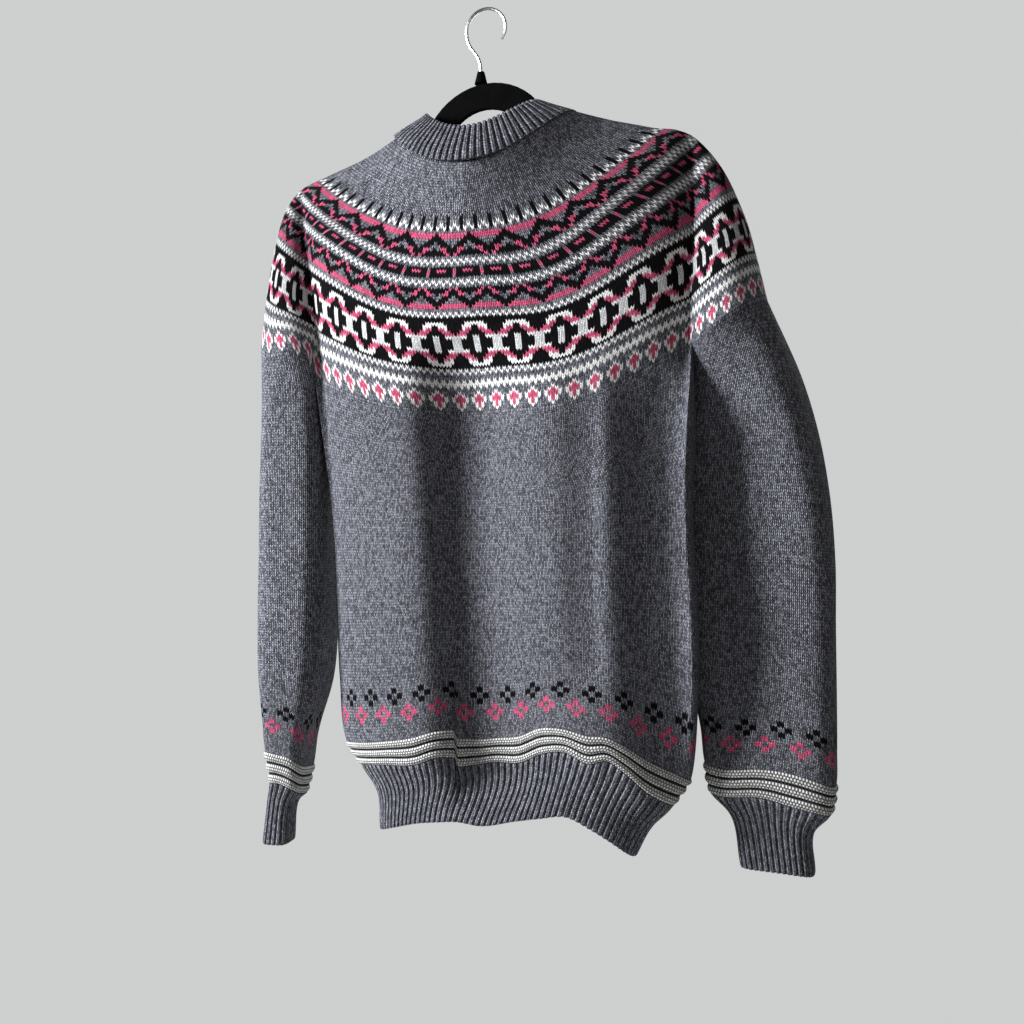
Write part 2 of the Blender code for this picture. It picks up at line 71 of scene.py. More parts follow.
# %% [markdown]
# ## The view
# The camera stands at chest height, a little towards the wearer's left, and looks level. The
# sweater is seen in three-quarter view, so the camera is turned round the hook's axis. A small
# shift, like a view camera's rising front, frames the object without tilting the lens.

# %% Camera
def placed(name, data):
    """A new object with its data, linked into the scene."""
    made = bpy.data.objects.new(name, data)
    bpy.context.scene.collection.objects.link(made)
    return made


VIEW_TURN = math.radians(18)  # how far the camera stands round towards the wearer's left
VIEW_AWAY = 1.2  # from the hook's axis
VIEW_HEIGHT = -0.533  # the lens, below the inside of the hook
SENSOR, LENS = 36.0, 44.3  # millimetres
SHIFT_ACROSS, SHIFT_UP = 0.0254, 0.0566  # shares of the picture's width

camera_data = bpy.data.cameras.new("view")
camera_data.sensor_width = SENSOR
camera_data.lens = LENS
camera_data.shift_x = SHIFT_ACROSS
camera_data.shift_y = SHIFT_UP
camera = placed("view", camera_data)
camera.location = (VIEW_AWAY * math.sin(VIEW_TURN), -VIEW_AWAY * math.cos(VIEW_TURN), VIEW_HEIGHT)
camera.rotation_euler = (math.radians(90), 0.0, VIEW_TURN)
bpy.context.scene.camera = camera
print("camera", [round(value, 3) for value in camera.location], "lens", round(camera_data.lens, 1))

# %% [markdown]
# ## Nodes
# The world and every finish are trees of nodes, boxes that hand values on to one another. They
# could be joined one by one, but that takes many lines. Here a small class adds a node and
# fills its inputs at once, with numbers or with what other nodes give, and has a short name
# for each sum that comes back.

# %% A helper for nodes
class Wiring:
    """Adds nodes to a tree and links them, so that a finish reads like a sum on paper."""

    def __init__(self, tree):
        self.tree = tree

    def feed(self, socket, value):
        """Link another node's output to a socket, or set the socket's own value."""
        if isinstance(value, bpy.types.NodeSocket):
            self.tree.links.new(value, socket)
        else:
            socket.default_value = value

    def node(self, kind, inputs=None, **settings):
        """A new node with its settings, and its inputs by name or by number."""
        made = self.tree.nodes.new("ShaderNode" + kind)
        for name, value in settings.items():
            setattr(made, name, value)
        for name, value in (inputs or {}).items():
            self.feed(made.inputs[name], value)
        return made

    def maths(self, operation, *values):
        """The result of a Math node."""
        return self.node("Math", dict(enumerate(values)), operation=operation).outputs[0]

    plus = partialmethod(maths, "ADD")
    minus = partialmethod(maths, "SUBTRACT")
    times = partialmethod(maths, "MULTIPLY")
    power = partialmethod(maths, "POWER")
    larger = partialmethod(maths, "MAXIMUM")
    floor = partialmethod(maths, "FLOOR")

    def rounded(self, value, power):
        """1 in the middle of each whole number's stretch and 0 at its ends."""
        off = self.minus(self.times(self.maths("FRACT", value), 2.0), 1.0)
        return self.minus(1.0, self.power(self.maths("ABSOLUTE", off), power))

    def swing(self, value, strength):
        """A value that swings round a half, made to swing round nought with a strength."""
        return self.times(self.minus(value, 0.5), strength)

    def noise(self, scale, detail, roughness=0.5):
        """Soft noise that is fixed to the piece."""
        inputs = {"Vector": self.node("TexCoord").outputs["Object"], "Scale": scale,
                  "Detail": detail, "Roughness": roughness}
        return self.node("TexNoise", inputs).outputs[0]

    def chance(self, across, up):
        """A number between 0 and 1 that is the same all over a whole number of across and up."""
        cell = self.node("CombineXYZ", {"X": self.floor(across), "Y": self.floor(up)}).outputs[0]
        return self.node("TexWhiteNoise", {"Vector": cell}, noise_dimensions="2D").outputs["Value"]

    def scaled(self, colour, by):
        """A colour times a number."""
        return self.node("VectorMath", {"Vector": colour, "Scale": by}, operation="SCALE").outputs[0]

    def bump(self, height, depth, strength, **more):
        """A normal that is bent by a height."""
        inputs = {"Height": height, "Distance": depth, "Strength": strength, **more}
        return self.node("Bump", inputs).outputs[0]


def new_finish(name, **values):
    """A material, its wiring and its shader, with values set on the shader's own sockets."""
    made = bpy.data.materials.new(name)
    made.use_nodes = True
    shader = made.node_tree.nodes["Principled BSDF"]
    for label, value in values.items():
        shader.inputs[label.replace("_", " ")].default_value = value
    return made, Wiring(made.node_tree), shader


print("sums by name:", [name for name, part in vars(Wiring).items() if isinstance(part, partialmethod)])

# %% [markdown]
# ## The light
# A pale grey surround, one strong lamp from the wearer's right, as from a window, a large weak
# one from the left, one from behind, and a pale floor well below the hem. Knitting is matt, so
# the folds alone show where the light comes from: the strong lamp stands far to the side, and
# the troughs fall into soft shade.

# %% World
BACKDROP = (0.612, 0.628, 0.621)  # the surround as it is seen
AROUND, AMBIENT = (1.0, 0.99, 0.97), 0.10  # the surround as it lights the cloth

bpy.context.scene.view_settings.view_transform = "Standard"
world = bpy.data.worlds.new("studio")
bpy.context.scene.world = world
world.use_nodes = True
wiring = Wiring(world.node_tree)
seen = world.node_tree.nodes["Background"]
seen.inputs["Color"].default_value = (*BACKDROP, 1.0)
around = wiring.node("Background", {"Color": (*AROUND, 1.0), "Strength": AMBIENT})
rays = wiring.node("LightPath").outputs["Is Camera Ray"]
either = wiring.node("MixShader", {0: rays, 1: around.outputs[0], 2: seen.outputs[0]})
wiring.feed(world.node_tree.nodes["World Output"].inputs["Surface"], either.outputs[0])
print("world:", world.name, "ambient light", AMBIENT)

# %% Lamps
CHEST = Vector((0.02, 0.0, -0.42))  # what the lamps face


def lamp(name, place, size, power, colour):
    """A square soft lamp at a place, facing the sweater's chest."""
    data = bpy.data.lights.new(name, "AREA")
    data.shape, data.size, data.energy, data.color = "SQUARE", size, power, colour
    made = placed(name, data)
    made.location = place
    made.rotation_euler = (CHEST - Vector(place)).to_track_quat("-Z", "Y").to_euler()
    print("lamp", name, round((CHEST - Vector(place)).length, 2), "m away,", power, "W")


lamp("window", (-2.09, -1.02, 0.30), 0.8, 225.0, (0.975, 0.985, 1.0))
lamp("fill", (1.6, -2.0, 0.3), 1.6, 15.0, (1.0, 0.98, 0.95))
lamp("back_light", (0.3, 2.2, 0.5), 1.6, 40.0, (0.97, 0.985, 1.0))

# %% Floor
FLOOR_AT = (0, 0, -1.5)
FLOOR_COLOUR = (0.62, 0.63, 0.62, 1.0)

bpy.ops.object.select_all(action="DESELECT")
bpy.ops.mesh.primitive_circle_add(vertices=96, radius=1.0, fill_type="NGON", location=FLOOR_AT)
floor = bpy.context.active_object
floor.name = "floor"
floor.data.materials.append(new_finish("pale_floor", Base_Color=FLOOR_COLOUR, Roughness=0.9)[0])
print("floor at", FLOOR_AT[2])

# %% [markdown]
# ## The shape of the knitting
# A round-yoke sweater is knitted in rings. The tables below follow the plain model's: each row
# says how far a ring reaches to each side, how high it lies and how far it swells. The plain
# model joins a few rings by flat faces. Here the same rows are joined by smooth curves, so
# that a ring can be had for every single row of stitches.

# %% Rings of the collar and the yoke
Ring = namedtuple("Ring", "right right_z left left_z front_z back_z front back "
                          "body_right body_left arm full flat middle")
RINGS = [Ring(*row) for row in (
    (.0560, -.0970, .0560, -.0955, -.1290, -.1020, .060, .046, .0560, .0560, .0055, .85, .0055, .000),
    (.0700, -.1065, .0700, -.1015, -.1450, -.1180, .066, .050, .0700, .0700, .0055, .85, .0055, .000),
    (.0880, -.1163, .0890, -.1085, -.1645, -.1350, .071, .054, .0880, .0890, .0055, .80, .0055, .000),
    (.1240, -.1320, .1240, -.1205, -.1880, -.1570, .069, .055, .1240, .1240, .0055, .55, .0055, .000),
    (.1600, -.1440, .1600, -.1310, -.2140, -.1820, .067, .056, .1600, .1600, .0060, .50, .0060, .002),
    (.1910, -.1550, .1940, -.1405, -.2480, -.2150, .067, .058, .1880, .1920, .0090, .60, .0060, .004),
    (.2085, -.1790, .2225, -.1725, -.2800, -.2470, .068, .060, .1860, .2020, .0230, .75, .0070, .007),
    (.2180, -.2190, .2425, -.2160, -.3150, -.2820, .069, .062, .1790, .2030, .0350, .90, .0080, .010),
    (.2245, -.2620, .2530, -.2540, -.3490, -.3160, .070, .064, .1720, .2040, .0440, 1.0, .0090, .013),
    (.2295, -.3105, .2620, -.2920, -.3870, -.3540, .071, .065, .1660, .2040, .0500, 1.0, .0100, .015),
)]
NECK_RING = 2  # where the collar ends and the yoke starts
LAST_RING = len(RINGS) - 1
CLOTH = 0.0025  # thickness of the knitting
print("the yoke's last ring is", RINGS[-1].left + RINGS[-1].right, "m wide")

# %% Sections of the body and the sleeves
Body = namedtuple("Body", "z middle half front back keep right_droop left_droop")
BODY = [Body(*row) for row in (
    (-.412, .0200, .178, .071, .065, .55, .000, .000),
    (-.455, .0195, .176, .072, .066, .25, .000, .000),
    (-.510, .0220, .1755, .073, .066, .08, .002, .002),
    (-.570, .0250, .177, .073, .066, .00, .004, .005),
    (-.630, .0262, .1752, .071, .064, .00, .007, .010),
    (-.684, .0255, .1675, .068, .062, .00, .010, .016),
    (-.712, .0262, .1525, .064, .058, .00, .012, .022),
    (-.735, .0260, .135, .059, .054, .00, .012, .023),
    (-.760, .0200, .126, .057, .052, .00, .020, .029),
)]
BODY_WELT = (5, 6)  # rows that the pale ridges lie between

Sleeve = namedtuple("Sleeve", "z x half_x y half_y turn keep tilt")
LEFT_SLEEVE = [Sleeve(*row) for row in (
    (-.362, .2505, .0510, .015, .045, 14, .30, .004),
    (-.410, .2520, .0585, .017, .039, 15, .10, .004),
    (-.460, .2525, .0645, .018, .035, 13, .03, .004),
    (-.520, .2550, .0655, .017, .032, 10, .00, .004),
    (-.580, .2562, .0650, .015, .030, 10, .00, .005),
    (-.640, .2580, .0640, .011, .029, 8, .00, .007),
    (-.690, .2628, .0593, .010, .028, 6, .00, .008),
    (-.722, .2642, .0573, .011, .028, 4, .00, .008),
    (-.745, .2648, .0520, .014, .026, 3, .00, .007),
    (-.761, .2655, .0372, .018, .024, 2, .00, .006),
    (-.801, .2705, .0315, .016, .021, 0, .00, .002),
)]
RIGHT_SLEEVE = [Sleeve(*row) for row in (
    (-.362, .2000, .0330, .010, .048, 0, .35, .000),
    (-.410, .2005, .0350, .014, .052, 0, .12, .000),
    (-.460, .2015, .0360, .016, .055, 0, .03, .000),
    (-.520, .2020, .0365, .017, .056, 0, .00, .000),
    (-.580, .2025, .0360, .015, .056, 0, .00, .000),
    (-.640, .2037, .0330, .012, .053, 0, .00, .001),
    (-.690, .2096, .0240, .010, .041, 0, .00, .001),
    (-.721, .2110, .0210, .010, .036, 0, .00, .001),
    (-.746, .2126, .0155, .010, .027, 0, .00, .001),
    (-.764, .2185, .0130, .010, .022, 0, .00, .001),
    (-.806, .2234, .0130, .010, .023, 0, .00, .000),
)]
SLEEVE_WELT = (7, 8)
print("rows: body", len(BODY), "sleeves", len(LEFT_SLEEVE), len(RIGHT_SLEEVE))

# %% Shares of a round, counted as in the plain model
FRONT_SHARE = 132  # the front of the yoke between the two armholes
ARM_SHARE = 84  # the yoke over one arm
BRIDGE_SHARE = 18  # the underarm
YOKE_ROUND = 2 * (FRONT_SHARE + ARM_SHARE)
BODY_ROUND = 2 * (FRONT_SHARE + BRIDGE_SHARE)
SLEEVE_ROUND = ARM_SHARE + BRIDGE_SHARE
print("yoke", YOKE_ROUND, "body", BODY_ROUND, "sleeve", SLEEVE_ROUND)

# %% [markdown]
# ## Folds
# Empty cloth falls in soft upright troughs under the yoke. Each is a row of a table: where it
# starts and ends, how wide it is to its right and to its left, how much wider its left bank
# grows further down, and how deep it is. A trough moves the cloth straight back by a bell curve
# that fades at both ends.

# %% The folds
Fold = namedtuple("Fold", "x_top z_top x_low z_low right left spread deep face")
FOLDS = [Fold(*row) for row in (
    (-.010, -.300, .0172, -.765, .034, .052, 1.2, .030, -1),
    (.112, -.330, .120, -.660, .022, .010, 1.0, .006, -1),
    (.170, -.330, .190, -.745, .037, .016, 1.0, .017, -1),
    (.208, -.330, .218, -.735, .014, .020, 1.0, -.017, -1),
    (-.070, -.350, -.058, -.740, .022, .021, 1.2, .020, 1),
    (.040, -.330, .046, -.700, .026, .016, 1.3, .022, 1),
    (.128, -.360, .118, -.745, .020, .018, 1.0, .016, 1),
)]
FADE_IN, FADE_OUT = 0.085, 0.050  # lengths over which a fold starts at its top and ends at its foot
RIGHT_BANK = 2.6  # a trough's floor is flat towards its right bank, which is steep
SIDE_DEPTH = 0.02  # how far from the sides' middle the cloth starts to fold


def soft_step(share):
    """0 below 0, 1 above 1, and a soft rise between."""
    share = np.clip(share, 0.0, 1.0)
    return share * share * (3.0 - 2.0 * share)


def folded(points):
    """Points moved into the cloth by the folds on their own face of the garment."""
    moved = points.copy()
    x, y, z = points[..., 0], points[..., 1], points[..., 2]
    for fold in FOLDS:
        down = np.clip((fold.z_top - z) / (fold.z_top - fold.z_low), 0.0, 1.0)
        centre = fold.x_top + (fold.x_low - fold.x_top) * down
        fade = soft_step((fold.z_top - z) / FADE_IN) * soft_step((z - fold.z_low) / FADE_OUT)
        on_face = np.clip(y * fold.face / SIDE_DEPTH, 0.0, 1.0)
        left = fold.left * (1.0 + (fold.spread - 1.0) * down)
        off = (x - centre) / np.where(x < centre, fold.right, left)
        form = np.exp(-np.where(x < centre, np.abs(off) ** RIGHT_BANK, off ** 2))
        moved[..., 1] -= fold.face * fold.deep * form * fade * on_face
    return moved


print("folds:", len(FOLDS), "the deepest", max(fold.deep for fold in FOLDS))

# %% [markdown]
# ## From tables to smooth rings
# `smooth` draws a curve through the rows of a table, with each row's slope taken from its
# neighbours. `run_length` measures a line of many points, and `along` finds points on it.

# %% Curves through table rows
def smooth(at, values, wanted):
    """Values at the wanted places, on a smooth curve through the rows of a table."""
    at, values = np.asarray(at, float), np.asarray(values, float)
    wanted = np.atleast_1d(np.asarray(wanted, float))
    slope = np.gradient(values, at, axis=0)
    cell = np.clip(np.searchsorted(at, wanted, side="right") - 1, 0, len(at) - 2)
    width = at[cell + 1] - at[cell]
    shape = (-1,) + (1,) * (values.ndim - 1)
    step = ((wanted - at[cell]) / width).reshape(shape)
    width = width.reshape(shape)
    return ((2 * step ** 3 - 3 * step ** 2 + 1) * values[cell]
            + (step ** 3 - 2 * step ** 2 + step) * width * slope[cell]
            + (3 * step ** 2 - 2 * step ** 3) * values[cell + 1]
            + (step ** 3 - step ** 2) * width * slope[cell + 1])


def run_length(line):
    """How far along a line each of its points lies."""
    steps = np.linalg.norm(np.diff(line, axis=0), axis=1)
    return np.concatenate(([0.0], np.cumsum(steps)))


def along(places, line, wanted):
    """Points of a line at the wanted places, where places says the place of each point."""
    return np.stack([np.interp(wanted, places, line[:, axis]) for axis in range(3)], axis=-1)


print("halfway between the bends of a step:", smooth((0, 1, 2, 3), (0, 0, 1, 1), 1.5))

# %% [markdown]
# A yoke ring is made of four quarters, each from the middle of the front or back to the top of
# an arm. The swell of the body and the swell of the sleeve meet in a soft valley: that is the
# armhole. The stitches of the front share out the body's part, those of the arm the rest.

# %% Swells of a yoke ring
SWELL_CORNER = 0.006  # how softly the body's swell meets the sleeve's
TENT, ROUND = 1.3, 2.6  # powers that shape a swell, the one pointed and the other round


def swell(share, full):
    """Height of a swell, 1 in the middle and 0 at the edge, between tent and round."""
    share = np.clip(share, 0.0, 1.0)
    return (1.0 - full) * (1.0 - share ** TENT) + full * np.sqrt(1.0 - share ** ROUND)


def higher(first, second):
    """The larger of two swells, with a soft corner where they meet."""
    apart = np.sqrt((first - second) ** 2 + SWELL_CORNER ** 2)
    return 0.5 * (first + second + apart - SWELL_CORNER)


print("a swell halfway to its edge:", [round(float(swell(0.5, full)), 3) for full in (0, 1)])

# %% A quarter of a yoke ring
ARM_REACH = 0.58  # half width of the sleeve's swell, as a share of its stretch
VALLEY = 0.985  # where the valley lies, as a share of the body's half
SLEEVE_FORMED = 0.030  # swell of a sleeve from which the armhole keeps to the valley
BELLY = {1: 0.0080, -1: 0.0035}  # how far the rounds sag in front, to each side of the middle
BELLY_END = 0.72  # where the sag ends, as a share of the way to the arm
BELLY_FROM, BELLY_FADE = -0.20, 0.07
HITCH = 0.0135  # in front, the right sleeve's rounds lie this much higher
HITCH_FROM, HITCH_FADE = -0.33, 0.055
HITCH_START, HITCH_RISE = 0.725, 0.03  # shares of the way to the arm
HITCH_END, HITCH_FALL = 0.80, 0.13
FOLD_PULL = 0.1  # share of a fold's extra length that comes from its neighbours
ARMHOLE = FRONT_SHARE / (FRONT_SHARE + ARM_SHARE)
QUARTER_POINTS = 240


def quarter(ring, side, face, fold):
    """A quarter of a ring as many points, and how many of its stitches lie before each."""
    reach, reach_z = (ring.left, ring.left_z) if side > 0 else (ring.right, ring.right_z)
    body = ring.body_left if side > 0 else ring.body_right
    centre_z, deep = (ring.front_z, ring.front) if face < 0 else (ring.back_z, ring.back)
    span = side * reach - ring.middle
    x = ring.middle + span * np.sin(np.linspace(0.0, math.pi / 2, QUARTER_POINTS))
    share = np.abs((x - ring.middle) / span)
    z = reach_z + (centre_z - reach_z) * (1.0 - share ** 2)
    if face < 0:
        sag = BELLY[side] * soft_step((BELLY_FROM - centre_z) / BELLY_FADE)
        z = z - sag * np.sin(math.pi * np.minimum(share / BELLY_END, 1.0)) ** 2
    if face < 0 and side < 0:
        hitch = HITCH * soft_step((HITCH_FROM - centre_z) / HITCH_FADE)
        rise = soft_step((share - HITCH_START) / HITCH_RISE)
        z = z + hitch * rise * (1.0 - soft_step((share - HITCH_END) / HITCH_FALL))
    body_share = np.abs((x - ring.middle) / (side * body - ring.middle))
    body_swell = (deep - ring.flat) * swell(body_share, ring.full)
    arm_half = ARM_REACH * max(reach - body, 0.001) + 0.001
    arm_share = (x - side * (reach - arm_half)) / arm_half
    arm_swell = (ring.arm - ring.flat) * np.sqrt(np.clip(1.0 - arm_share ** 2, 0.0, 1.0))
    line = np.stack((x, face * (ring.flat + higher(body_swell, arm_swell)), z), axis=1)
    length = run_length(line)
    if fold:
        line = folded(line)
        length = length + (run_length(line) - length) * FOLD_PULL
    reached = length / length[-1]
    valley = np.interp(body * VALLEY, np.abs(line[:, 0]), reached)
    weight = min(max((ring.arm - ring.flat) / SLEEVE_FORMED, 0.0), 1.0)
    armhole = ARMHOLE + (valley - ARMHOLE) * weight
    over_arm = length[-1] * (1.0 - armhole)
    top = ARMHOLE + (1.0 - ARMHOLE) * over_arm / (over_arm + ring.flat)
    shares = np.interp(reached, (0.0, armhole, 1.0), (0.0, ARMHOLE, top))
    tip = line[-1:] * np.array((1.0, 0.0, 1.0))
    return np.concatenate((line, tip)), np.append(shares, 1.0)


print("the armhole lies at", round(ARMHOLE, 3), "of a quarter's stitches")

# %% Whole yoke rings
def ring_line(place, fold=True):
    """The closed ring at a place in the table, and each point's share of the round."""
    ring = Ring(*smooth(range(len(RINGS)), RINGS, place)[0])
    lines, shares = [], []
    for number, (side, face) in enumerate(((1, -1), (1, 1), (-1, 1), (-1, -1))):
        line, share = quarter(ring, side, face, fold)
        if number % 2:
            line, share = line[::-1], 1.0 - share[::-1]
        lines.append(line)
        shares.append((number + share) / 4)
    return np.concatenate(lines), np.concatenate(shares)


def yoke_points(place, wanted, fold=True):
    """Points of the ring at a place in the table, at the wanted shares of the round."""
    line, shares = ring_line(place, fold)
    return along(shares, line, np.mod(wanted, 1.0))


PLACES = np.linspace(0, LAST_RING, 400)
FRONT_HEIGHTS = smooth(range(len(RINGS)), [ring.front_z for ring in RINGS], PLACES)


def ring_place(front_z):
    """The place in the table of the ring that lies at this height in the middle of the front."""
    return np.interp(-front_z, -FRONT_HEIGHTS, PLACES)


for place in (NECK_RING, LAST_RING):
    print("ring", place, "is", round(run_length(ring_line(place)[0])[-1], 3), "m round")

# %% [markdown]
# The body and each sleeve hang from the yoke's last ring as tubes. A tube's first ring is that
# part of the yoke and an underarm line that sags between the armhole's ends; the further
# rings change step by step into the plain ovals of the tables.

# %% First rings of the tubes
UNDERARM_SAG = 0.022  # how far the underarm hangs below the armhole's ends


def underarm(start, end, share, fold=True):
    """Points of an underarm, which sags between two stitches of the yoke's last ring."""
    ends = yoke_points(LAST_RING, np.array((start, end)) / YOKE_ROUND, fold)
    points = ends[0] + (ends[1] - ends[0]) * share[:, None]
    points[:, 2] -= UNDERARM_SAG * 4 * (share * (1 - share))
    return points


def body_ring_top(wanted):
    """The body's first ring, without folds; the shares start at the middle of the front."""
    turn = (np.mod(np.asarray(wanted) + 0.25, 1.0) - 0.25) * BODY_ROUND
    half = FRONT_SHARE / 2
    points = np.zeros((len(turn), 3))
    front = turn <= half + BRIDGE_SHARE / 2
    for chosen, middle in ((front, 0.0), (~front, 0.5)):
        edge = np.clip(turn[chosen] - middle * BODY_ROUND, -half, half)
        points[chosen] = yoke_points(LAST_RING, (edge + middle * YOKE_ROUND) / YOKE_ROUND, False)
    ends = (half, half, YOKE_ROUND / 2 - half), (-half - BRIDGE_SHARE, YOKE_ROUND / 2 + half, -half)
    for low, start, end in ends:
        place = np.mod(turn - low, BODY_ROUND)
        under = place < BRIDGE_SHARE
        points[under] = underarm(start, end, place[under] / BRIDGE_SHARE, False)
    return points


def sleeve_ring_top(wanted, side):
    """A sleeve's first ring; the shares start at the top of the arm and go round outwards."""
    turn = (np.mod(np.asarray(wanted) + 0.5, 1.0) - 0.5) * SLEEVE_ROUND
    half = ARM_SHARE / 2
    middle = YOKE_ROUND / 4 if side > 0 else 3 * YOKE_ROUND / 4
    points = yoke_points(LAST_RING, (np.clip(turn, -half, half) + middle) / YOKE_ROUND)
    under = np.abs(turn) > half
    share = np.mod(turn[under] - half, SLEEVE_ROUND) / BRIDGE_SHARE
    points[under] = underarm(middle + half, middle - half, share)
    return points


print("the body's first ring starts at", body_ring_top(np.zeros(1)).round(3).tolist())

# %% Ovals of the body and the sleeves
SLEEVE_FLAT, SLEEVE_FRONT_FLAT = 0.72, 0.50  # 1 for round sections, less for flat faces
LEFT_FRONT_FLAT = 0.55  # the same for the body's front on the left
SHEAR = 0.16  # how far the right sleeve's front leans towards the body
SIDE_LEAN = 0.20  # how far the body's left side leans outwards in front
LEAN_FROM, LEAN_FADE = 0.10, 0.08
TUBE_POINTS = 721


def powered(value, power):
    """A power of a number that keeps its sign."""
    return np.sign(value) * np.abs(value) ** power


def oval(row, side, wanted):
    """Points of a table row's oval at the wanted shares of its length."""
    turn = np.linspace(0.0, 2 * math.pi, TUBE_POINTS)
    sine, cosine = np.sin(turn), np.cos(turn)
    if isinstance(row, Body):
        flat = np.where((sine > 0) & (cosine > 0), LEFT_FRONT_FLAT, 1.0)
        x = row.middle + row.half * powered(sine, flat)
        y = np.where(cosine > 0, -row.front, -row.back) * powered(cosine, flat)
        x = x - SIDE_LEAN * y * soft_step((x - LEAN_FROM) / LEAN_FADE)
        z = row.z - np.where(sine > 0, row.left_droop, row.right_droop) * sine ** 2
    else:
        back = math.radians(row.turn)
        flat = np.where(side * sine < 0, SLEEVE_FRONT_FLAT, SLEEVE_FLAT)
        across = side * row.half_y * powered(sine, flat)
        out = row.half_x * powered(cosine, flat) + (SHEAR * across if side < 0 else 0.0)
        x = side * (row.x + out * math.cos(back) + across * math.sin(back))
        y = row.y - out * math.sin(back) + across * math.cos(back)
        z = row.z - row.tilt * cosine
    line = np.stack((x, y, z), axis=1)
    length = run_length(line)
    return along(length / length[-1], line, np.mod(wanted, 1.0))


print("an oval of the body:", oval(BODY[0], 0, np.array((0.0, 0.25))).round(3).tolist())

# %% Tubes of the body and the sleeves
class Tube:
    """A tube of cloth that hangs from the yoke, as smooth rings under one another."""

    def __init__(self, table, side=0):
        self.side = side
        wanted = np.linspace(-0.5, 0.5, TUBE_POINTS)
        hung = sleeve_ring_top(wanted, side) if side else body_ring_top(wanted)
        level = hung.copy()
        level[:, 2] -= hung[:, 2].mean()
        rings = [hung]
        for row in table:
            hanging = level + np.array((0.0, 0.0, row.z))
            rings.append(row.keep * hanging + (1.0 - row.keep) * oval(row, side, wanted))
        self.rings = np.stack(rings)
        steps = np.linalg.norm(np.diff(self.rings, axis=0), axis=2).mean(axis=1)
        self.at = np.concatenate(([0.0], np.cumsum(steps)))

    def ring(self, place):
        """The closed ring at a distance below the yoke."""
        line = smooth(self.at, self.rings, place)[0]
        return line if self.side else folded(line)


body_tube = Tube(BODY)
left_tube = Tube(LEFT_SLEEVE, 1)
right_tube = Tube(RIGHT_SLEEVE, -1)
print("tube lengths:", [round(tube.at[-1], 3) for tube in (body_tube, left_tube, right_tube)])

# %% [markdown]
# ## Knitting as a mesh
# In plain knitting each stitch shows as a V. One could draw the stitches on a smooth sheet, but
# then a pattern's edges are straight lines. Here each stitch is two faces wide and one face high,
# and the points in its middle are pulled down towards the next row, so that the faces
# themselves make the Vs and the colours meet in small teeth, as yarns do. Every face knows its
# yarn and its place in stitches and rows, which the yarn's finish uses later.

# %% Helpers for grids
def even(line, count):
    """Points at equal lengths along a line, both ends included."""
    length = run_length(line)
    return along(length, line, np.linspace(0.0, length[-1], count))


def rounds(round_of, places, points):
    """A grid: closed rounds at many places, each with so many points."""
    return np.stack([round_of(place, points) for place in places])


def outward(grid):
    """Unit normals of closed rounds that lie one under the other."""
    across = np.roll(grid, -1, axis=1) - np.roll(grid, 1, axis=1)
    normal = np.cross(np.gradient(grid, axis=0), across)
    return normal / np.maximum(np.linalg.norm(normal, axis=2, keepdims=True), 1e-9)


def pointed(grid, drop=(0.0, 1.0), pin_top=False, pin_bottom=False):
    """The grid with each point pulled towards the next row; drop repeats along the round."""
    step = np.diff(grid, axis=0)
    step = np.concatenate((step, step[-1:]))
    if pin_top:
        step[0] = 0.0
    if pin_bottom:
        step[-1] = 0.0
    return grid + step * np.resize(np.asarray(drop), grid.shape[1])[None, :, None]


# E is the ridges' white yarn given darker, and S is grey given near black in the grooves between ridges: both
# are painted shade.
YARNS = ".KPWLES"  # grey, black, rose, white, pale grey, ecru and shade


def chart(rows, stitches, shift=0):
    """Yarn numbers for each half stitch, from rows of letters that repeat along the round."""
    lines = []
    for row in rows:
        letters = [YARNS.index(row[(stitch - shift) % len(row)]) for stitch in range(stitches)]
        lines.append(np.repeat(letters, 2))
    return np.array(lines)


print("four stitches of a chart:", chart(["K.W."], 4).tolist())

# %% A mesh of stitches
CREASE = math.radians(60)  # edges sharper than this stay sharp
INSIDE_ROW = 4.0  # rows of stitches between two rounds of the inner side


def choose(piece):
    """Make one object the only selected one."""
    bpy.ops.object.select_all(action="DESELECT")
    piece.select_set(True)
    bpy.context.view_layer.objects.active = piece


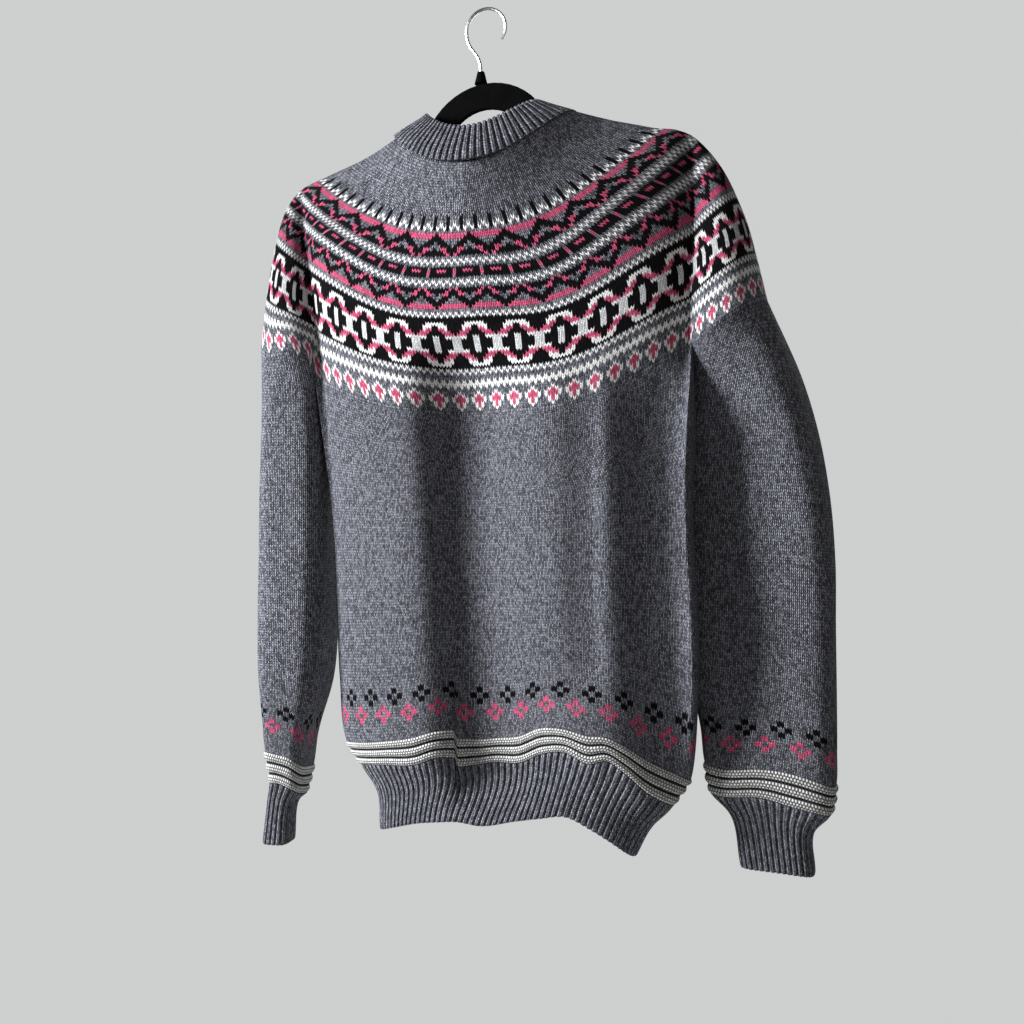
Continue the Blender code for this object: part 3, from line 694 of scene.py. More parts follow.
class Knitting:
    """Collects grids of points and the faces between them."""

    def __init__(self):
        self.points, self.corners, self.sizes, self.places, self.yarns = [], [], [], [], []
        self.count = 0

    def add(self, grid):
        """Take in the points of a closed round for each row, and number them."""
        numbers = self.count + np.arange(grid.shape[0] * grid.shape[1]).reshape(grid.shape[:2])
        self.points.append(grid.reshape(-1, 3))
        self.count += numbers.size
        return np.concatenate((numbers, numbers[:, :1]), axis=1)

    def keep(self, corners, places, size, yarns):
        """Note faces of one size: their corners' numbers and places, and their yarns."""
        self.corners.append(corners)
        self.places.append(places)
        self.sizes.append(np.full(len(corners) // size, size))
        self.yarns.append(np.broadcast_to(yarns, len(corners) // size))

    def skin(self, numbers, down, yarn=0, across=None, inward=False):
        """Faces between numbered points. Down counts rows and across counts stitches, which
        have two faces each unless it is given."""
        rows, columns = numbers.shape[0] - 1, numbers.shape[1] - 1
        across = np.arange(columns + 1) / 2 if across is None else across
        round_face = ((0, 0), (1, 0), (1, 1), (0, 1))[::-1 if inward else 1]

        def corners_of(values):
            """A value for each corner, face after face."""
            corners = [values[row:row + rows, column:column + columns] for row, column in round_face]
            return np.stack(corners, axis=-1).ravel()

        places = [corners_of(values) for values in np.meshgrid(across, down)]
        yarns = np.broadcast_to(yarn, (rows, columns)).ravel()
        self.keep(corners_of(numbers), np.stack(places, axis=1), 4, yarns)

    def seam(self, upper, lower, stitches, row=0.0):
        """Triangles between two rounds of any number of points, one under the other."""
        corners, places = [], []
        ups, lows = len(upper) - 1, len(lower) - 1
        first = second = 0
        while first < ups or second < lows:
            here, there = (upper[first], first / ups, 0), (lower[second], second / lows, 1)
            if (first + 1) * lows <= (second + 1) * ups:
                first += 1
                further = (upper[first], first / ups, 0)
            else:
                second += 1
                further = (lower[second], second / lows, 1)
            for number, share, down in (here, there, further):
                corners.append(number)
                places.append((share * stitches, row + down))
        self.keep(np.array(corners), np.array(places, float), 3, 0)

    def lining(self, first, last, grid, stitches):
        """The inner side of a tube, joined to the outer side's first and last rounds."""
        numbers = self.add(grid - outward(grid) * CLOTH)
        self.skin(numbers, np.arange(len(numbers)) * INSIDE_ROW,
                  across=np.linspace(0, stitches, numbers.shape[1]), inward=True)
        self.seam(numbers[0], first, stitches)
        self.seam(last, numbers[-1], stitches)

    def piece(self, name, finish, slot, *nodes):
        """The finished object, which stands for the named parts of the frame."""
        mesh = bpy.data.meshes.new(name)
        points, corners, sizes = (np.concatenate(part) for part in (self.points, self.corners, self.sizes))
        mesh.vertices.add(len(points))
        mesh.vertices.foreach_set("co", points.ravel())
        mesh.loops.add(len(corners))
        mesh.loops.foreach_set("vertex_index", corners)
        mesh.polygons.add(len(sizes))
        mesh.polygons.foreach_set("loop_start", np.concatenate(([0], np.cumsum(sizes)[:-1])))
        mesh.update(calc_edges=True)
        mesh.uv_layers.new(name="stitches").uv.foreach_set("vector", np.concatenate(self.places).ravel())
        yarn = mesh.attributes.new("yarn", "FLOAT", "FACE")
        yarn.data.foreach_set("value", np.concatenate(self.yarns).astype(float))
        mesh.validate()
        made = placed(name, mesh)
        made.data.materials.append(finish)
        choose(made)
        bpy.ops.object.shade_smooth_by_angle(angle=CREASE)
        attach(made, "root")
        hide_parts(*nodes)
        print(name, "faces", len(sizes), "triangles", int(np.sum(sizes - 2)))
        return made


print("a knitted piece is made by:", [name for name in vars(Knitting) if not name.startswith("_")])

# %% [markdown]
# ## Yarns
# The yarn is soft alpaca. Its grey is a heather: light and dark fibres that are spun together,
# so each leg of a stitch has its own tone and fine flecks. Three small node groups make this:
# the relief of plain stitches, the relief of purl bumps, and the heather. The heather also
# paints shade: the colour is darker where the relief is low, between the stitches. They are
# used by every knitted finish, each with its own values.

# %% Relief of plain and purl stitches
PLAIN_LOOP = 2.2, 5.0, 0.55  # how square a leg is across and up, and how full
WALE_SQUARE, WALE_HEIGHT = 2.5, 0.5  # the same for the swell of a whole column of stitches
PURL_LOOP = 2.0, 2.5, 0.5
PURL_STEP = 0.5  # purl bumps lie half a stitch further with each row


def new_group(name, inputs, outputs):
    """An empty node group with named sockets, its wiring, its start and its end."""
    tree = bpy.data.node_groups.new(name, "ShaderNodeTree")
    for label, kind, value in inputs:
        socket = tree.interface.new_socket(label, in_out="INPUT", socket_type="NodeSocket" + kind)
        if value is not None:
            socket.default_value = value
    for label, kind in outputs:
        tree.interface.new_socket(label, in_out="OUTPUT", socket_type="NodeSocket" + kind)
    start, end = tree.nodes.new("NodeGroupInput"), tree.nodes.new("NodeGroupOutput")
    return tree, Wiring(tree), start.outputs, end.inputs


def stitch_group(name):
    """A group for the relief of a kind of stitch, and the place across and up that it reads."""
    sockets = (("Stitches", "Vector", None),), (("Height", "Float"), ("Tone", "Float"))
    tree, wiring, start, end = new_group(name, *sockets)
    place = wiring.node("SeparateXYZ", {"Vector": start["Stitches"]}).outputs
    return tree, wiring, end, place["X"], place["Y"]


def loop(wiring, across, up, form):
    """The height of the loop of yarn that fills each whole number of across and up."""
    square_across, square_up, full = form
    height = wiring.times(wiring.rounded(across, square_across), wiring.rounded(up, square_up))
    return wiring.power(wiring.larger(height, 0.0), full)


plain_stitch, wiring, end, across, up = stitch_group("plain_stitch")
legs = wiring.times(across, 2.0)
wale = wiring.times(wiring.rounded(across, WALE_SQUARE), WALE_HEIGHT)
wiring.feed(end["Height"], wiring.larger(loop(wiring, legs, up, PLAIN_LOOP), wale))
wiring.feed(end["Tone"], wiring.chance(legs, up))

purl_stitch, wiring, end, across, up = stitch_group("purl_stitch")
bumps = wiring.plus(across, wiring.times(wiring.floor(up), PURL_STEP))
wiring.feed(end["Height"], loop(wiring, bumps, up, PURL_LOOP))
wiring.feed(end["Tone"], wiring.chance(bumps, up))
print("groups:", plain_stitch.name, purl_stitch.name)

# %% Heather, fibres and painted shade between the stitches
FLECK_SCALE, FLECK_ROUGHNESS = 1000.0, 0.6  # flecks a bit over a millimetre long
FIBRE_SCALE = 2600.0
FLECK_STRENGTH, TONE_STRENGTH = 8.0, 2.2  # in doublings of the brightness
BRIGHTEST = 1.0
# Painted shade between the stitches: the colour is darkened where the stitch relief is low, more so for yarns
# with strong flecks.
HOLLOW_SHADE_LEAST, HOLLOW_SHADE_STRENGTH = 1.2, 4.0  # the more flecks, the darker between the stitches

heather, wiring, start, end = new_group(
    "heather",
    (("Colour", "Color", (0.1, 0.1, 0.1, 1.0)), ("Tone", "Float", 0.5), ("Height", "Float", 1.0),
     ("Flecks", "Float", 1.0), ("Hollow shade", "Float", 0.5)),
    (("Colour", "Color"), ("Fibres", "Float")))
fleck = wiring.swing(wiring.noise(FLECK_SCALE, 2.0, FLECK_ROUGHNESS), FLECK_STRENGTH)
mixed = wiring.times(wiring.plus(fleck, wiring.swing(start["Tone"], TONE_STRENGTH)), start["Flecks"])
mixed = wiring.maths("MINIMUM", mixed, BRIGHTEST)
# Painted shade: the colour darkens by the relief's depth below the top of each leg.
strength = wiring.plus(HOLLOW_SHADE_LEAST, wiring.times(start["Flecks"], HOLLOW_SHADE_STRENGTH))
strength = wiring.times(start["Hollow shade"], strength)
hollow = wiring.times(wiring.minus(start["Height"], 1.0), strength)
bright = wiring.power(2.0, wiring.plus(mixed, hollow))
wiring.feed(end["Colour"], wiring.scaled(start["Colour"], bright))
wiring.feed(end["Fibres"], wiring.noise(FIBRE_SCALE, 1.0))
print("group:", heather.name)

# %% [markdown]
# A knitted finish picks its colour by the face's yarn. Two colour ramps with constant steps
# hold the yarns: one says the colour, the other how strong the flecks are. Loose fibres on
# alpaca give it no gloss but a faint sheen.

# %% Knitted finishes
GREY, BLACK, ROSE = (.19, .195, .228), (.0045, .0045, .006), (.62, .10, .20)
# The ridges' ecru is the white yarn given darker, as painted shade, so that their lit side is not too bright.
WHITE, PALE, SHADED_RIDGE_WHITE = (.92, .92, .91), (.74, .75, .77), (.62, .62, .61)
# Painted shade: the grooves are grey cloth, given near black because they lie deep in shade.
GROOVE_PAINTED_SHADE = (.035, .035, .042)  # the deep grooves between ridges
YARN_COLOURS = (GREY, BLACK, ROSE, WHITE, PALE, SHADED_RIDGE_WHITE, GROOVE_PAINTED_SHADE)
YARN_FLECKS = (1.0, .8, .35, .15, .3, .2, .5)
BUMP_DEPTH = 0.0014
FIBRE_DEPTH, FIBRE_STRENGTH = 0.00025, 0.6
WOOL = dict(Roughness=0.95, Specular_IOR_Level=0.04, Sheen_Weight=0.015, Sheen_Roughness=0.45)


def yarn_steps(wiring, values):
    """A ramp in constant steps that turns the face's yarn number into a colour or a strength."""
    number = wiring.node("Attribute", attribute_name="yarn").outputs["Fac"]
    share = wiring.maths("DIVIDE", wiring.plus(number, 0.5), len(values))
    ramp = wiring.node("ValToRGB", {"Fac": share})
    steps = ramp.color_ramp
    steps.interpolation = "CONSTANT"
    while len(steps.elements) < len(values):
        steps.elements.new(0.5)
    for place, value in enumerate(values):
        steps.elements[place].position = place / len(values)
        steps.elements[place].color = (*value, 1.0)
    return ramp.outputs["Color"]


# hollows sets the strength of the painted shade between the stitches.
def knitted(name, stitch_kinds, hollows=1.0, depth=BUMP_DEPTH, flecks=1.0, shade=1.0):
    """Wool in stitches of one kind, or in two kinds by turns, as in a rib."""
    made, wiring, shader = new_finish(name, **WOOL)
    stitches = wiring.node("UVMap", uv_map="stitches").outputs["UV"]
    kinds = [wiring.node("Group", {"Stitches": stitches}, node_tree=tree).outputs for tree in stitch_kinds]
    relief = {part: kinds[0][part] for part in ("Height", "Tone")}
    if len(kinds) > 1:
        across = wiring.node("SeparateXYZ", {"Vector": stitches}).outputs["X"]
        second = wiring.maths("GREATER_THAN", wiring.maths("FRACT", wiring.times(across, 0.5)), 0.5)
        for part in relief:
            either = {"Factor": second, "A": kinds[0][part], "B": kinds[1][part]}
            relief[part] = wiring.node("Mix", either).outputs["Result"]
    # shade darkens every yarn of the finish: a painted shade, used to make the rib darker than the same grey
    # elsewhere.
    colours = yarn_steps(wiring, [[channel * shade for channel in colour] for colour in YARN_COLOURS])
    strengths = yarn_steps(wiring, [(value * flecks,) * 3 for value in YARN_FLECKS])
    inputs = {"Colour": colours, "Flecks": strengths, "Hollow shade": hollows, **relief}
    yarn = wiring.node("Group", inputs, node_tree=heather).outputs
    fibres = wiring.bump(yarn["Fibres"], FIBRE_DEPTH, FIBRE_STRENGTH)
    wiring.feed(shader.inputs["Base Color"], yarn["Colour"])
    wiring.feed(shader.inputs["Normal"], wiring.bump(relief["Height"], depth, 1.0, Normal=fibres))
    print("finish", name, "of", len(kinds), "kind(s) of stitch")
    return made


plain_finish = knitted("heathered_alpaca", [plain_stitch])
# The rib is of the same grey as the body; its darker colour is painted shade.
rib_finish = knitted("ribbed_alpaca", [plain_stitch, purl_stitch], hollows=0.7, flecks=0.65, shade=0.83)
# The ridges' finish paints stronger shade between its purl bumps.
ridge_finish = knitted("ecru_alpaca_painted_shade", [purl_stitch], hollows=1.4, depth=0.0020)

# %% [markdown]
# ## The yoke
# The yoke is worked in rounds from the neck down, and gains stitches as it widens. A motif's
# repeat fits a whole number of times into its round, so each band of motifs has its own
# number of stitches, and one plain round lies between two bands. The charts are the usual
# ones of such yokes: ticks, points, dashes, medallions and small diamonds.

# %% Charts of the yoke
def mirrored(half, middles=1):
    """A repeat from its first half, where the first stitch is the middle of the motif."""
    return half[:1] * (middles - 1) + half + half[-2:0:-1]


TICKS = ("K...", "K...", "K.W.", "KW.W")
POINTS = [mirrored(half) for half in
          ("KPPPPP", "KKPPPP", "KKK...", ".KKK..", "..KKK.", "K.PPKK", "KKKPKK", "KKKKPK")]
DASHES = ("W.", ".W", ".", ".KKKKKKK", "PKKPPPKK", "PKKKKKKK", ".KKKKKKK", ".", "W.", ".W")
PETALS = [mirrored(half, 2) for half in
          ("WWWKKKK", "KWWWKKK", "KPPWKKK", "KKPPPKK", "KKKPPPK", "LKKWWLL", "LKKKKLL", "LKKKKLL")]
MEDALLIONS = ["W.", ".W", "K", "K"] + PETALS + PETALS[::-1] + ["K", "W.", ".W"]
DIAMONDS = (".", "W.", "WW", ".W", ".", "..W...", ".WPW..", "WPPPW.", "WPPPW.", ".WPW..", ".WPW..",
            "..W...", ".")

Band = namedtuple("Band", "rows stitches shift top bottom")
BANDS = [Band(*row) for row in (
    (["."] * 20, 190, 0, -.1622, -.2080),
    (TICKS, 60 * 4, 2, -.2105, -.2232),
    (POINTS, 27 * 10, 0, -.2262, -.2471),
    (DASHES, 43 * 8, 3, -.2498, -.2740),
    (POINTS[::-1], 40 * 10, -1, -.2765, -.2955),
    (MEDALLIONS, 35 * 13, -1, -.2985, -.3528),
    (DIAMONDS, 71 * 6, 1, -.3550, -.3870),
)]
for band in BANDS:
    print(len(band.rows), "rows of", band.stitches, "stitches")

# %% The yoke, band by band
INSIDE_ROWS, INSIDE_COLUMNS = 30, 216
TUCK = 0.0018  # how deep the yoke's first round lies behind the collar


def yoke_round(place, points):
    """A round of the yoke or the collar at a place in the table."""
    return yoke_points(place, np.arange(points) / points)


yoke = Knitting()
last, row = None, 0
for band in BANDS:
    heights = np.linspace(band.top, band.bottom, len(band.rows) + 1)
    grid = rounds(yoke_round, [ring_place(z) for z in heights], 2 * band.stitches)
    if last is None:
        grid[0] -= outward(grid)[0] * TUCK
    numbers = yoke.add(pointed(grid, pin_top=band is BANDS[0], pin_bottom=band is BANDS[-1]))
    if last is None:
        first = numbers[0]
    else:
        yoke.seam(last, numbers[0], stitches, row - 1)
    yoke.skin(numbers, row + np.arange(len(heights)), chart(band.rows, band.stitches, band.shift))
    last, stitches = numbers[-1], band.stitches
    row += len(heights)

places = np.linspace(ring_place(BANDS[0].top), LAST_RING, INSIDE_ROWS)
yoke.lining(first, last, rounds(yoke_round, places, INSIDE_COLUMNS), stitches)
yoke_piece = yoke.piece("yoke_knit", plain_finish, "grey_alpaca_knit", "yoke")

# %% [markdown]
# ## The body
# The body goes on from the yoke in plain grey, with two lines of small flowers near its end,
# three ecru ridges and a rib. Front and back have the same number of stitches. The
# lower edge isn't level: it follows the folds, so a small table says how far the ridges and
# the hem rise or sink along the front and along the back.

# %% The lower edge's wave
Wave = namedtuple("Wave", "x ridges_top ridges_bottom hem")
FRONT_WAVE = [Wave(*row) for row in (
    (-.160, -.006, .003, -.004), (-.085, -.005, .002, -.003), (-.050, -.001, .002, -.001),
    (-.030, .004, .008, -.001), (-.010, .0044, .0064, -.001), (.012, -.0008, .0042, -.004),
    (.045, .000, .003, .002), (.070, .010, .014, .007), (.092, .011, .018, .012),
    (.115, .007, .011, .007), (.131, .007, .016, .003), (.146, .001, .008, -.001),
    (.162, -.009, -.004, -.003), (.200, -.022, -.009, -.003),
)]
BACK_WAVE = [Wave(*row) for row in (
    (-.160, -.006, .003, -.004), (-.110, .002, .005, .001), (-.060, .004, .006, .003),
    (-.010, -.004, -.003, -.004), (.040, .002, .003, .001), (.080, .008, .009, .005),
    (.125, .000, .002, -.001), (.200, -.022, -.009, -.003),
)]
print("the front's lower edge rises to", max(wave.ridges_top for wave in FRONT_WAVE))

# %% Waved rounds of the body
STEP_AT, STEP_DROP = -0.0155, 0.0085  # in front, the deep trough starts with a sudden drop
STEP_WIDTH, STEP_END = 0.003, 0.050
WAVE_FADE = 0.12  # the wave dies out over this length above the ridges
RIDGES_TOP, RIDGES_BOTTOM = (body_tube.at[row + 1] for row in BODY_WELT)
HEM_END = body_tube.at[-1]
SIDE = TUBE_POINTS // 4  # where the side seam lies among a ring's points


def waved(line, place, levels, tables, lean=0.0):
    """A round of a tube, raised and lowered as its lower edge waves. Levels are the places of
    the ridges' two ends and of the tube's own end, and tables are for the front and the back.
    The place across is x, plus a share of y where the wave runs aslant."""
    moved = line.copy()
    levels = (levels[0] - WAVE_FADE, *levels)
    weights = [np.interp(place, levels, row) for row in np.eye(len(levels))]
    for table, face in zip(tables, (line[:, 1] < 0, line[:, 1] >= 0)):
        table = np.array(table)
        x = np.clip(line[face, 0] + lean * line[face, 1], table[0, 0], table[-1, 0])
        moved[face, 2] += smooth(table[:, 0], table[:, 1:], x) @ np.array(weights[1:])
    return moved


def body_round(place, points):
    """A round of the body from its right side, half of the points on the front."""
    levels = (RIDGES_TOP, RIDGES_BOTTOM, HEM_END)
    line = waved(body_tube.ring(place), place, levels, (FRONT_WAVE, BACK_WAVE))
    off = line[:, 0] - STEP_AT
    drop = STEP_DROP * soft_step(off / STEP_WIDTH) * (1.0 - soft_step(off / STEP_END)) * (line[:, 1] < 0)
    line[:, 2] -= drop * np.interp(place, (RIDGES_TOP - WAVE_FADE, *levels), (0, 1, 1, 0))
    halves = line[SIDE:3 * SIDE + 1], np.concatenate((line[3 * SIDE:-1], line[:SIDE + 1]))
    return np.concatenate([even(half, points // 2 + 1)[:-1] for half in halves])


print("ridges from", round(RIDGES_TOP, 3), "to", round(RIDGES_BOTTOM, 3), "and hem to", round(HEM_END, 3))

# %% A tube with flowers
FLOWER = ("..KK......",) * 2 + ("KK..KK....",) * 2 + ("..KK......",) * 2
FLOWERS_APART = 5  # stitches from a black flower to the next rose one


def flowered(count, stitches, shift, above):
    """Yarns of a grey tube; above says how many rows lie between its end and each flower."""
    cloth = np.zeros((count, 2 * stitches), int)
    starts = shift, shift + FLOWERS_APART
    for letter, rows_above, start in zip("KP", above, starts):
        flowers = chart([row.replace("K", letter) for row in FLOWER], stitches, start)
        rows = slice(count - rows_above - len(FLOWER), count - rows_above)
        cloth[rows] = np.where(flowers, flowers, cloth[rows])
    return cloth


def tube_knit(name, round_of, size, length, shift, above, lining_columns, *nodes):
    """A tube with its flowers; size is its number of stitches and the height of a row."""
    stitches, row_height = size
    count = round(length / row_height)
    knitting = Knitting()
    grid = rounds(round_of, np.linspace(0, length, count + 1), 2 * stitches)
    numbers = knitting.add(pointed(grid, pin_top=True, pin_bottom=True))
    knitting.skin(numbers, np.arange(count + 1), flowered(count, stitches, shift, above))
    inside = rounds(round_of, np.linspace(0, length, INSIDE_ROWS), lining_columns)
    knitting.lining(numbers[0], numbers[-1], inside, stitches)
    return knitting.piece(name, plain_finish, "grey_alpaca_knit", *nodes)


print("a flower is", len(FLOWER), "rows high, and they repeat each", len(FLOWER[0]), "stitches")

# %% The body
BODY_STITCHES, BODY_ROW = 290, 0.0026
BODY_FLOWERS = 13, 7  # rows from the black and the rose flowers to the ridges
FLOWER_SHIFT = 4

body_piece = tube_knit("body_knit", body_round, (BODY_STITCHES, BODY_ROW), RIDGES_TOP, FLOWER_SHIFT,
                       BODY_FLOWERS, INSIDE_COLUMNS, "front_body", "back_body")

# %% [markdown]
# ## Ridges
# Above each rib lie three thick ridges in ecru. A ridge is a roll of purl rows that stands
# proud of the cloth, and deep grooves part the ridges. The ridges' white yarn is given darker,
# and the grey in the grooves near black: both are painted shade. Their section is a row of bows.

# %% Ridges
RIDGES = 3
RIDGE_STEPS = 7  # faces over a ridge
RIDGE_RISE = 0.0019
RIDGE_FULL = 0.7  # a power, less than 1 for a full round section
GROOVE = 0.24  # a groove's height, in ridges
PURL_ROWS = 3  # rows of purl bumps on a ridge


def ridge_section():
    """For each face edge down the ridges: its share of the height, its rise and its row of bumps."""
    section = []
    for ridge in range(RIDGES):
        for step in range(RIDGE_STEPS + 1):
            share = step / RIDGE_STEPS
            rise = RIDGE_RISE * math.sin(math.pi * share) ** RIDGE_FULL
            row = ridge * (PURL_ROWS + 1) + share * PURL_ROWS
            section.append((ridge * (1.0 + GROOVE) + share, rise, row))
    place, rise, row = np.array(section).T
    return place / place[-1], rise, row


def ridges(name, round_of, stitches, top, bottom, *nodes):
    """Three ridges round a tube, between two distances below the yoke."""
    share, rise, row = ridge_section()
    grid = rounds(round_of, top + (bottom - top) * share, 2 * stitches)
    knitting = Knitting()
    numbers = knitting.add(grid + outward(grid) * rise[:, None, None])
    # The ridges get the white yarn given darker, a painted shade.
    yarn = np.full((len(share) - 1, 2 * stitches), YARNS.index("E"))
    # Each groove gets the near-black yarn, a painted shade.
    yarn[RIDGE_STEPS::RIDGE_STEPS + 1] = YARNS.index("S")
    knitting.skin(numbers, row, yarn)
    inside = rounds(round_of, (top, (top + bottom) / 2, bottom), INSIDE_COLUMNS)
    knitting.lining(numbers[0], numbers[-1], inside, stitches)
    return knitting.piece(name, ridge_finish, "pale_alpaca_ridges", *nodes)


body_ridges = ridges("body_ridges", body_round, BODY_STITCHES, RIDGES_TOP, RIDGES_BOTTOM,
                     "front_welt", "back_welt")

# %% [markdown]
# ## Ribs
# Collar, hem and cuffs are ribbed: one plain stitch and one purl stitch in turn. The plain
# ones stand out as upright cords and the purl ones sink between them. Where the rib ends
# freely, its edge is a soft round rim that goes up and down with the cords.

# %% Ribs
RIB_COLUMNS = 8  # faces across a cord and its hollow
RIB_RISE = 0.0011
RIB_ROW = 0.0027
RIM_STEPS, RIM_SHARE = 3, 0.15  # faces over a free end's rim, and how far it follows the cords
CORD_FLAT = 3.0  # 2 for round cords, more for broad ones with narrow hollows
CORD_MIDDLE, CORD_WIDTH = 3, 6  # columns of a cord, the rest is the hollow
RIB_DROP = [max(0.0, 1.0 - abs(column - CORD_MIDDLE) / (CORD_WIDTH / 2)) for column in range(RIB_COLUMNS)]


def rim_rounds(outer, inner, away):
    """Rounds of points over a free end, in a half turn from its outer to its inner side."""
    middle, half = (outer + inner) / 2, (outer - inner) / 2
    turns = [math.pi * step / (RIM_STEPS + 1) for step in range(1, RIM_STEPS + 1)]
    return [middle + half * math.cos(turn) + away * math.sin(turn) for turn in turns]


def rib(name, round_of, cords, top, bottom, free_end, *nodes, lift=None):
    """A ribbed tube between two places of round_of; free_end is "top" or "bottom", and lift
    says how far each point of the other end stands out from the cloth that it meets."""
    columns = cords * RIB_COLUMNS
    off = np.abs(np.mod((np.arange(columns) - CORD_MIDDLE) / RIB_COLUMNS + 0.5, 1.0) - 0.5) * 2
    rises = RIB_RISE * (1.0 - 2.0 * off ** CORD_FLAT)[:, None]
    first, last = rounds(round_of, (top, bottom), columns)
    count = max(4, round(np.linalg.norm(last - first, axis=1).mean() / RIB_ROW))
    base = rounds(round_of, np.linspace(top, bottom, count + 1), columns)
    normal = outward(base)
    if lift:
        down = soft_step(np.linspace(0.0, 1.0, count + 1))
        base = base + normal * down[:, None, None] * lift(base[-1])[None, :, None]
    outer = pointed(base, RIB_DROP, pin_top=True, pin_bottom=True) + normal * rises
    inner = base + normal * (rises - CLOTH)
    end, before = (0, 1) if free_end == "top" else (-1, -2)
    away = base[end] - base[before]
    away = away / np.linalg.norm(away, axis=1, keepdims=True) * (CLOTH / 2 + rises * RIM_SHARE)
    knitting = Knitting()
    outside, inside = knitting.add(outer), knitting.add(inner)
    rim = [knitting.add(line[None])[0] for line in rim_rounds(outer[end], inner[end], away)]
    column = np.arange(columns + 1)
    across = np.interp(column % RIB_COLUMNS, (0, CORD_WIDTH, RIB_COLUMNS), (0, 1, 2))
    across = across + column // RIB_COLUMNS * 2
    knitting.skin(outside, np.arange(count + 1), across=across)
    knitting.skin(inside, np.arange(count + 1), across=across + 1.0, inward=True)
    edge = [outside[end], *rim, inside[end]]
    if free_end == "top":
        edge = edge[::-1]
        knitting.seam(outside[-1], inside[-1], 2 * cords)
    else:
        knitting.seam(inside[0], outside[0], 2 * cords)
    knitting.skin(np.stack(edge), np.linspace(0, 2, len(edge)), across=across)
    return knitting.piece(name, rib_finish, "grey_alpaca_knit", *nodes)


print("a cord is", CORD_WIDTH, "faces wide and its hollow", RIB_COLUMNS - CORD_WIDTH)

# %% Hem and collar
HEM_CORDS, COLLAR_CORDS = 114, 76
LIFT = 0.0034  # how far the collar stands up from the yoke in front
LIFT_END, LIFT_FADE = 0.005, 0.035  # it lies flat further left
LIFT_DEPTH = 0.03  # and it lies flat behind


def collar_lift(points):
    """How far each point of the collar's foot stands out from the yoke."""
    leftwards = soft_step((points[:, 0] - LIFT_END) / LIFT_FADE)
    return LIFT * (1.0 - leftwards) * soft_step(-points[:, 1] / LIFT_DEPTH)


hem = rib("hem_rib", body_round, HEM_CORDS, RIDGES_BOTTOM, HEM_END, "bottom",
          "front_hem_rib", "back_hem_rib")
collar = rib("collar_rib", yoke_round, COLLAR_CORDS, 0.0, float(NECK_RING), "top", "collar", lift=collar_lift)

# %% [markdown]
# ## Sleeves
# Each sleeve hangs from the yoke as a plain grey tube with the same flowers, ridges and rib
# as the body. It is closed under the arm.

# %% The sleeves
LEFT_WAVE = [Wave(*row) for row in (
    (.195, .008, .002, .000), (.225, .009, .006, .000), (.255, .014, .011, .002),
    (.285, .013, .006, .001), (.320, .008, .004, .000),
)]
RIGHT_WAVE = [Wave(*row) for row in (
    (-.245, .010, .001, .000), (-.231, .009, .001, .000), (-.217, .0065, .001, .000),
    (-.201, .002, -.006, .000), (-.190, -.008, -.016, .000), (-.180, -.014, -.020, .000),
)]
RIGHT_LEAN = 0.32  # the right sleeve's wave runs aslant


def sleeve(word, tube, wave, lean, size, cords, shift, above):
    """A sleeve with its ridges and its cuff."""
    top, bottom = (tube.at[row + 1] for row in SLEEVE_WELT)
    end = tube.at[-1]

    def round_of(place, points):
        """A round of the sleeve from the top of the arm."""
        line = waved(tube.ring(place), place, (top, bottom, end), (wave, wave), lean)
        return even(line, points + 1)[:-1]

    name = word + "_sleeve"
    return (tube_knit(name + "_knit", round_of, size, top, shift, above, INSIDE_COLUMNS // 3, name),
            ridges(name + "_ridges", round_of, size[0], top, bottom, name + "_welt"),
            rib(word + "_cuff_rib", round_of, cords, bottom, end, "bottom", word + "_cuff"))


left_sleeve, left_ridges, left_cuff = sleeve(
    "left", left_tube, LEFT_WAVE, 0.0, (100, .0027), 37, 7, (13, 7))
right_sleeve, right_ridges, right_cuff = sleeve(
    "right", right_tube, RIGHT_WAVE, RIGHT_LEAN, (80, .0026), 24, 0, (15, 9))

# %% [markdown]
# ## The hanger
# A slim hanger, flocked in black, with a steel hook. Its flat outline is right in the plain
# model, so a copy of that mesh is merged, its flat faces are joined, and its edges are
# rounded. The sleeve under the hook and the bent wire are right already, and get new finishes.

# %% Finishes of the hanger
FLOCK, NAP_SCALE, PATCH_SCALE = (.0022, .0022, .0024), 1800.0, 60.0
NAP_STRENGTH, PATCH_STRENGTH = 3.0, 1.5  # in doublings of the brightness
VELVET = dict(Roughness=1.0, Specular_IOR_Level=0.02, Sheen_Weight=0.01, Sheen_Roughness=0.35)

flock, wiring, shader = new_finish("black_flock", **VELVET)
nap = wiring.noise(NAP_SCALE, 3.0)
patches = wiring.swing(wiring.noise(PATCH_SCALE, 2.0), PATCH_STRENGTH)
bright = wiring.power(2.0, wiring.plus(wiring.swing(nap, NAP_STRENGTH), patches))
wiring.feed(shader.inputs["Base Color"], wiring.scaled(FLOCK, bright))
wiring.feed(shader.inputs["Normal"], wiring.bump(nap, 0.0003, 0.8))

STEEL, BRUSH_SCALE = (.55, .55, .56), 900.0
STEEL_TINT, STEEL_ROUGHNESS = (0.9, 0.2), (0.22, 0.16)  # the least, and what the brushing adds

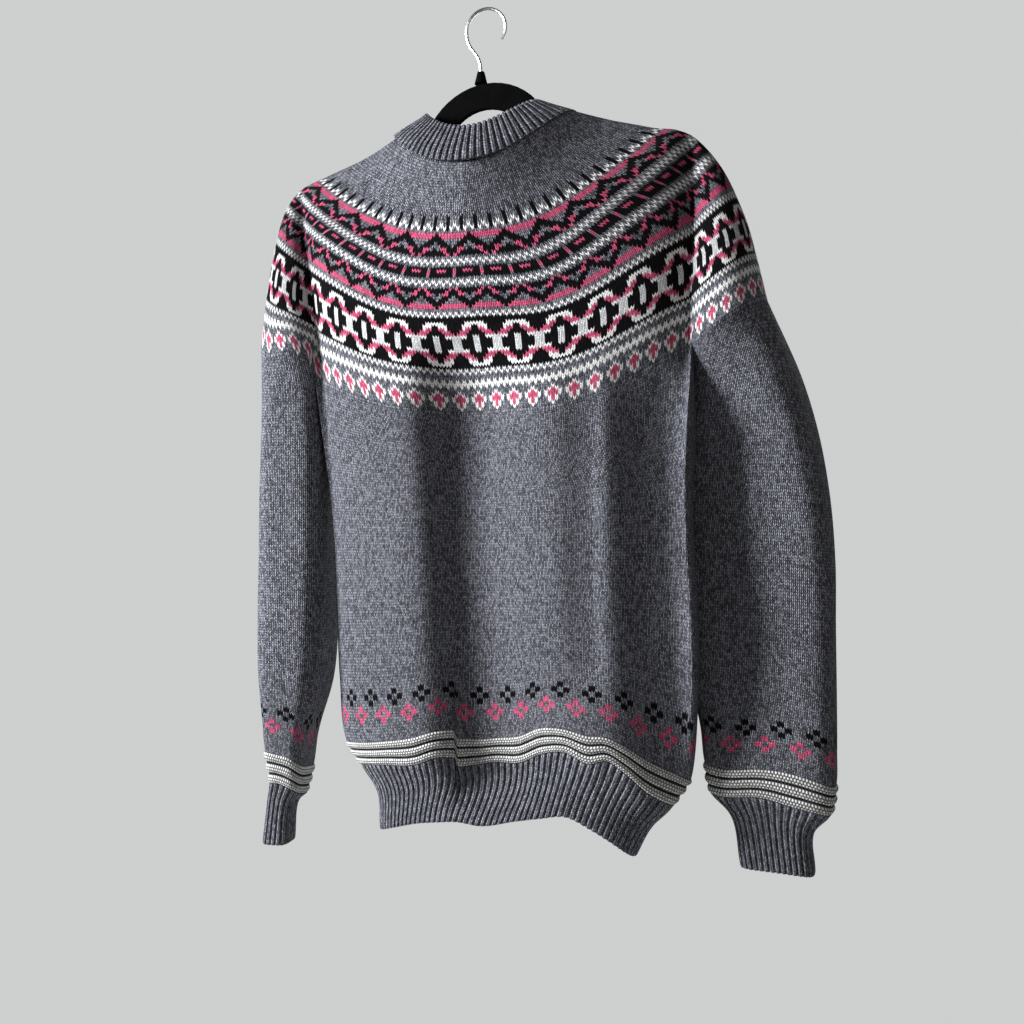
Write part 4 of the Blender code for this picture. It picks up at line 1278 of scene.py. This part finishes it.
steel, wiring, shader = new_finish("brushed_wire", Metallic=1.0)
brushed = wiring.noise(BRUSH_SCALE, 2.0)
tint, rough = (wiring.plus(least, wiring.times(brushed, more))
               for least, more in (STEEL_TINT, STEEL_ROUGHNESS))
wiring.feed(shader.inputs["Roughness"], rough)
wiring.feed(shader.inputs["Base Color"], wiring.scaled(STEEL, tint))
wiring.feed(shader.inputs["Normal"], wiring.bump(brushed, 0.0001, 0.3))
print("finishes:", flock.name, steel.name)

# %% The flocked body of the hanger
HANGER_EDGE, EDGE_FACES = 0.0019, 4  # rounding of its edges
MERGE = 0.00001  # corners closer than this are one
FLAT, SHARP, SMOOTH = (math.radians(angle) for angle in (1, 50, 40))

outline = frame["nodes"]["hanger"]
hanger_body = outline.copy()
hanger_body.data = outline.data.copy()
hanger_body.name = hanger_body.data.name = "hanger_body"
hanger_body.parent = None
for key in list(hanger_body.keys()):
    del hanger_body[key]
bpy.context.scene.collection.objects.link(hanger_body)
choose(hanger_body)
bpy.ops.object.mode_set(mode="EDIT")
bpy.ops.mesh.select_all(action="SELECT")
bpy.ops.mesh.remove_doubles(threshold=MERGE)
bpy.ops.mesh.dissolve_limited(angle_limit=FLAT)
bpy.ops.object.mode_set(mode="OBJECT")
rounding = hanger_body.modifiers.new("rounding", "BEVEL")
rounding.width, rounding.segments = HANGER_EDGE, EDGE_FACES
rounding.limit_method, rounding.angle_limit = "ANGLE", SHARP
bpy.ops.object.modifier_apply(modifier="rounding")
bpy.ops.object.shade_smooth_by_angle(angle=SMOOTH)
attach(hanger_body, "root")
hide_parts("hanger")
print("hanger_body", len(hanger_body.data.polygons), "faces")

# %% Finishes in place
for piece, finish in ((hanger_body, flock), (frame["nodes"]["hanger_ferrule"], flock),
                      (frame["nodes"]["hanger_hook"], steel)):
    piece.data.materials.clear()
    piece.data.materials.append(finish)
    print(piece.name, "gets", finish.name)

# %% [markdown]
# ## Sheets
# The pieces of this sweater are knitted in the round.
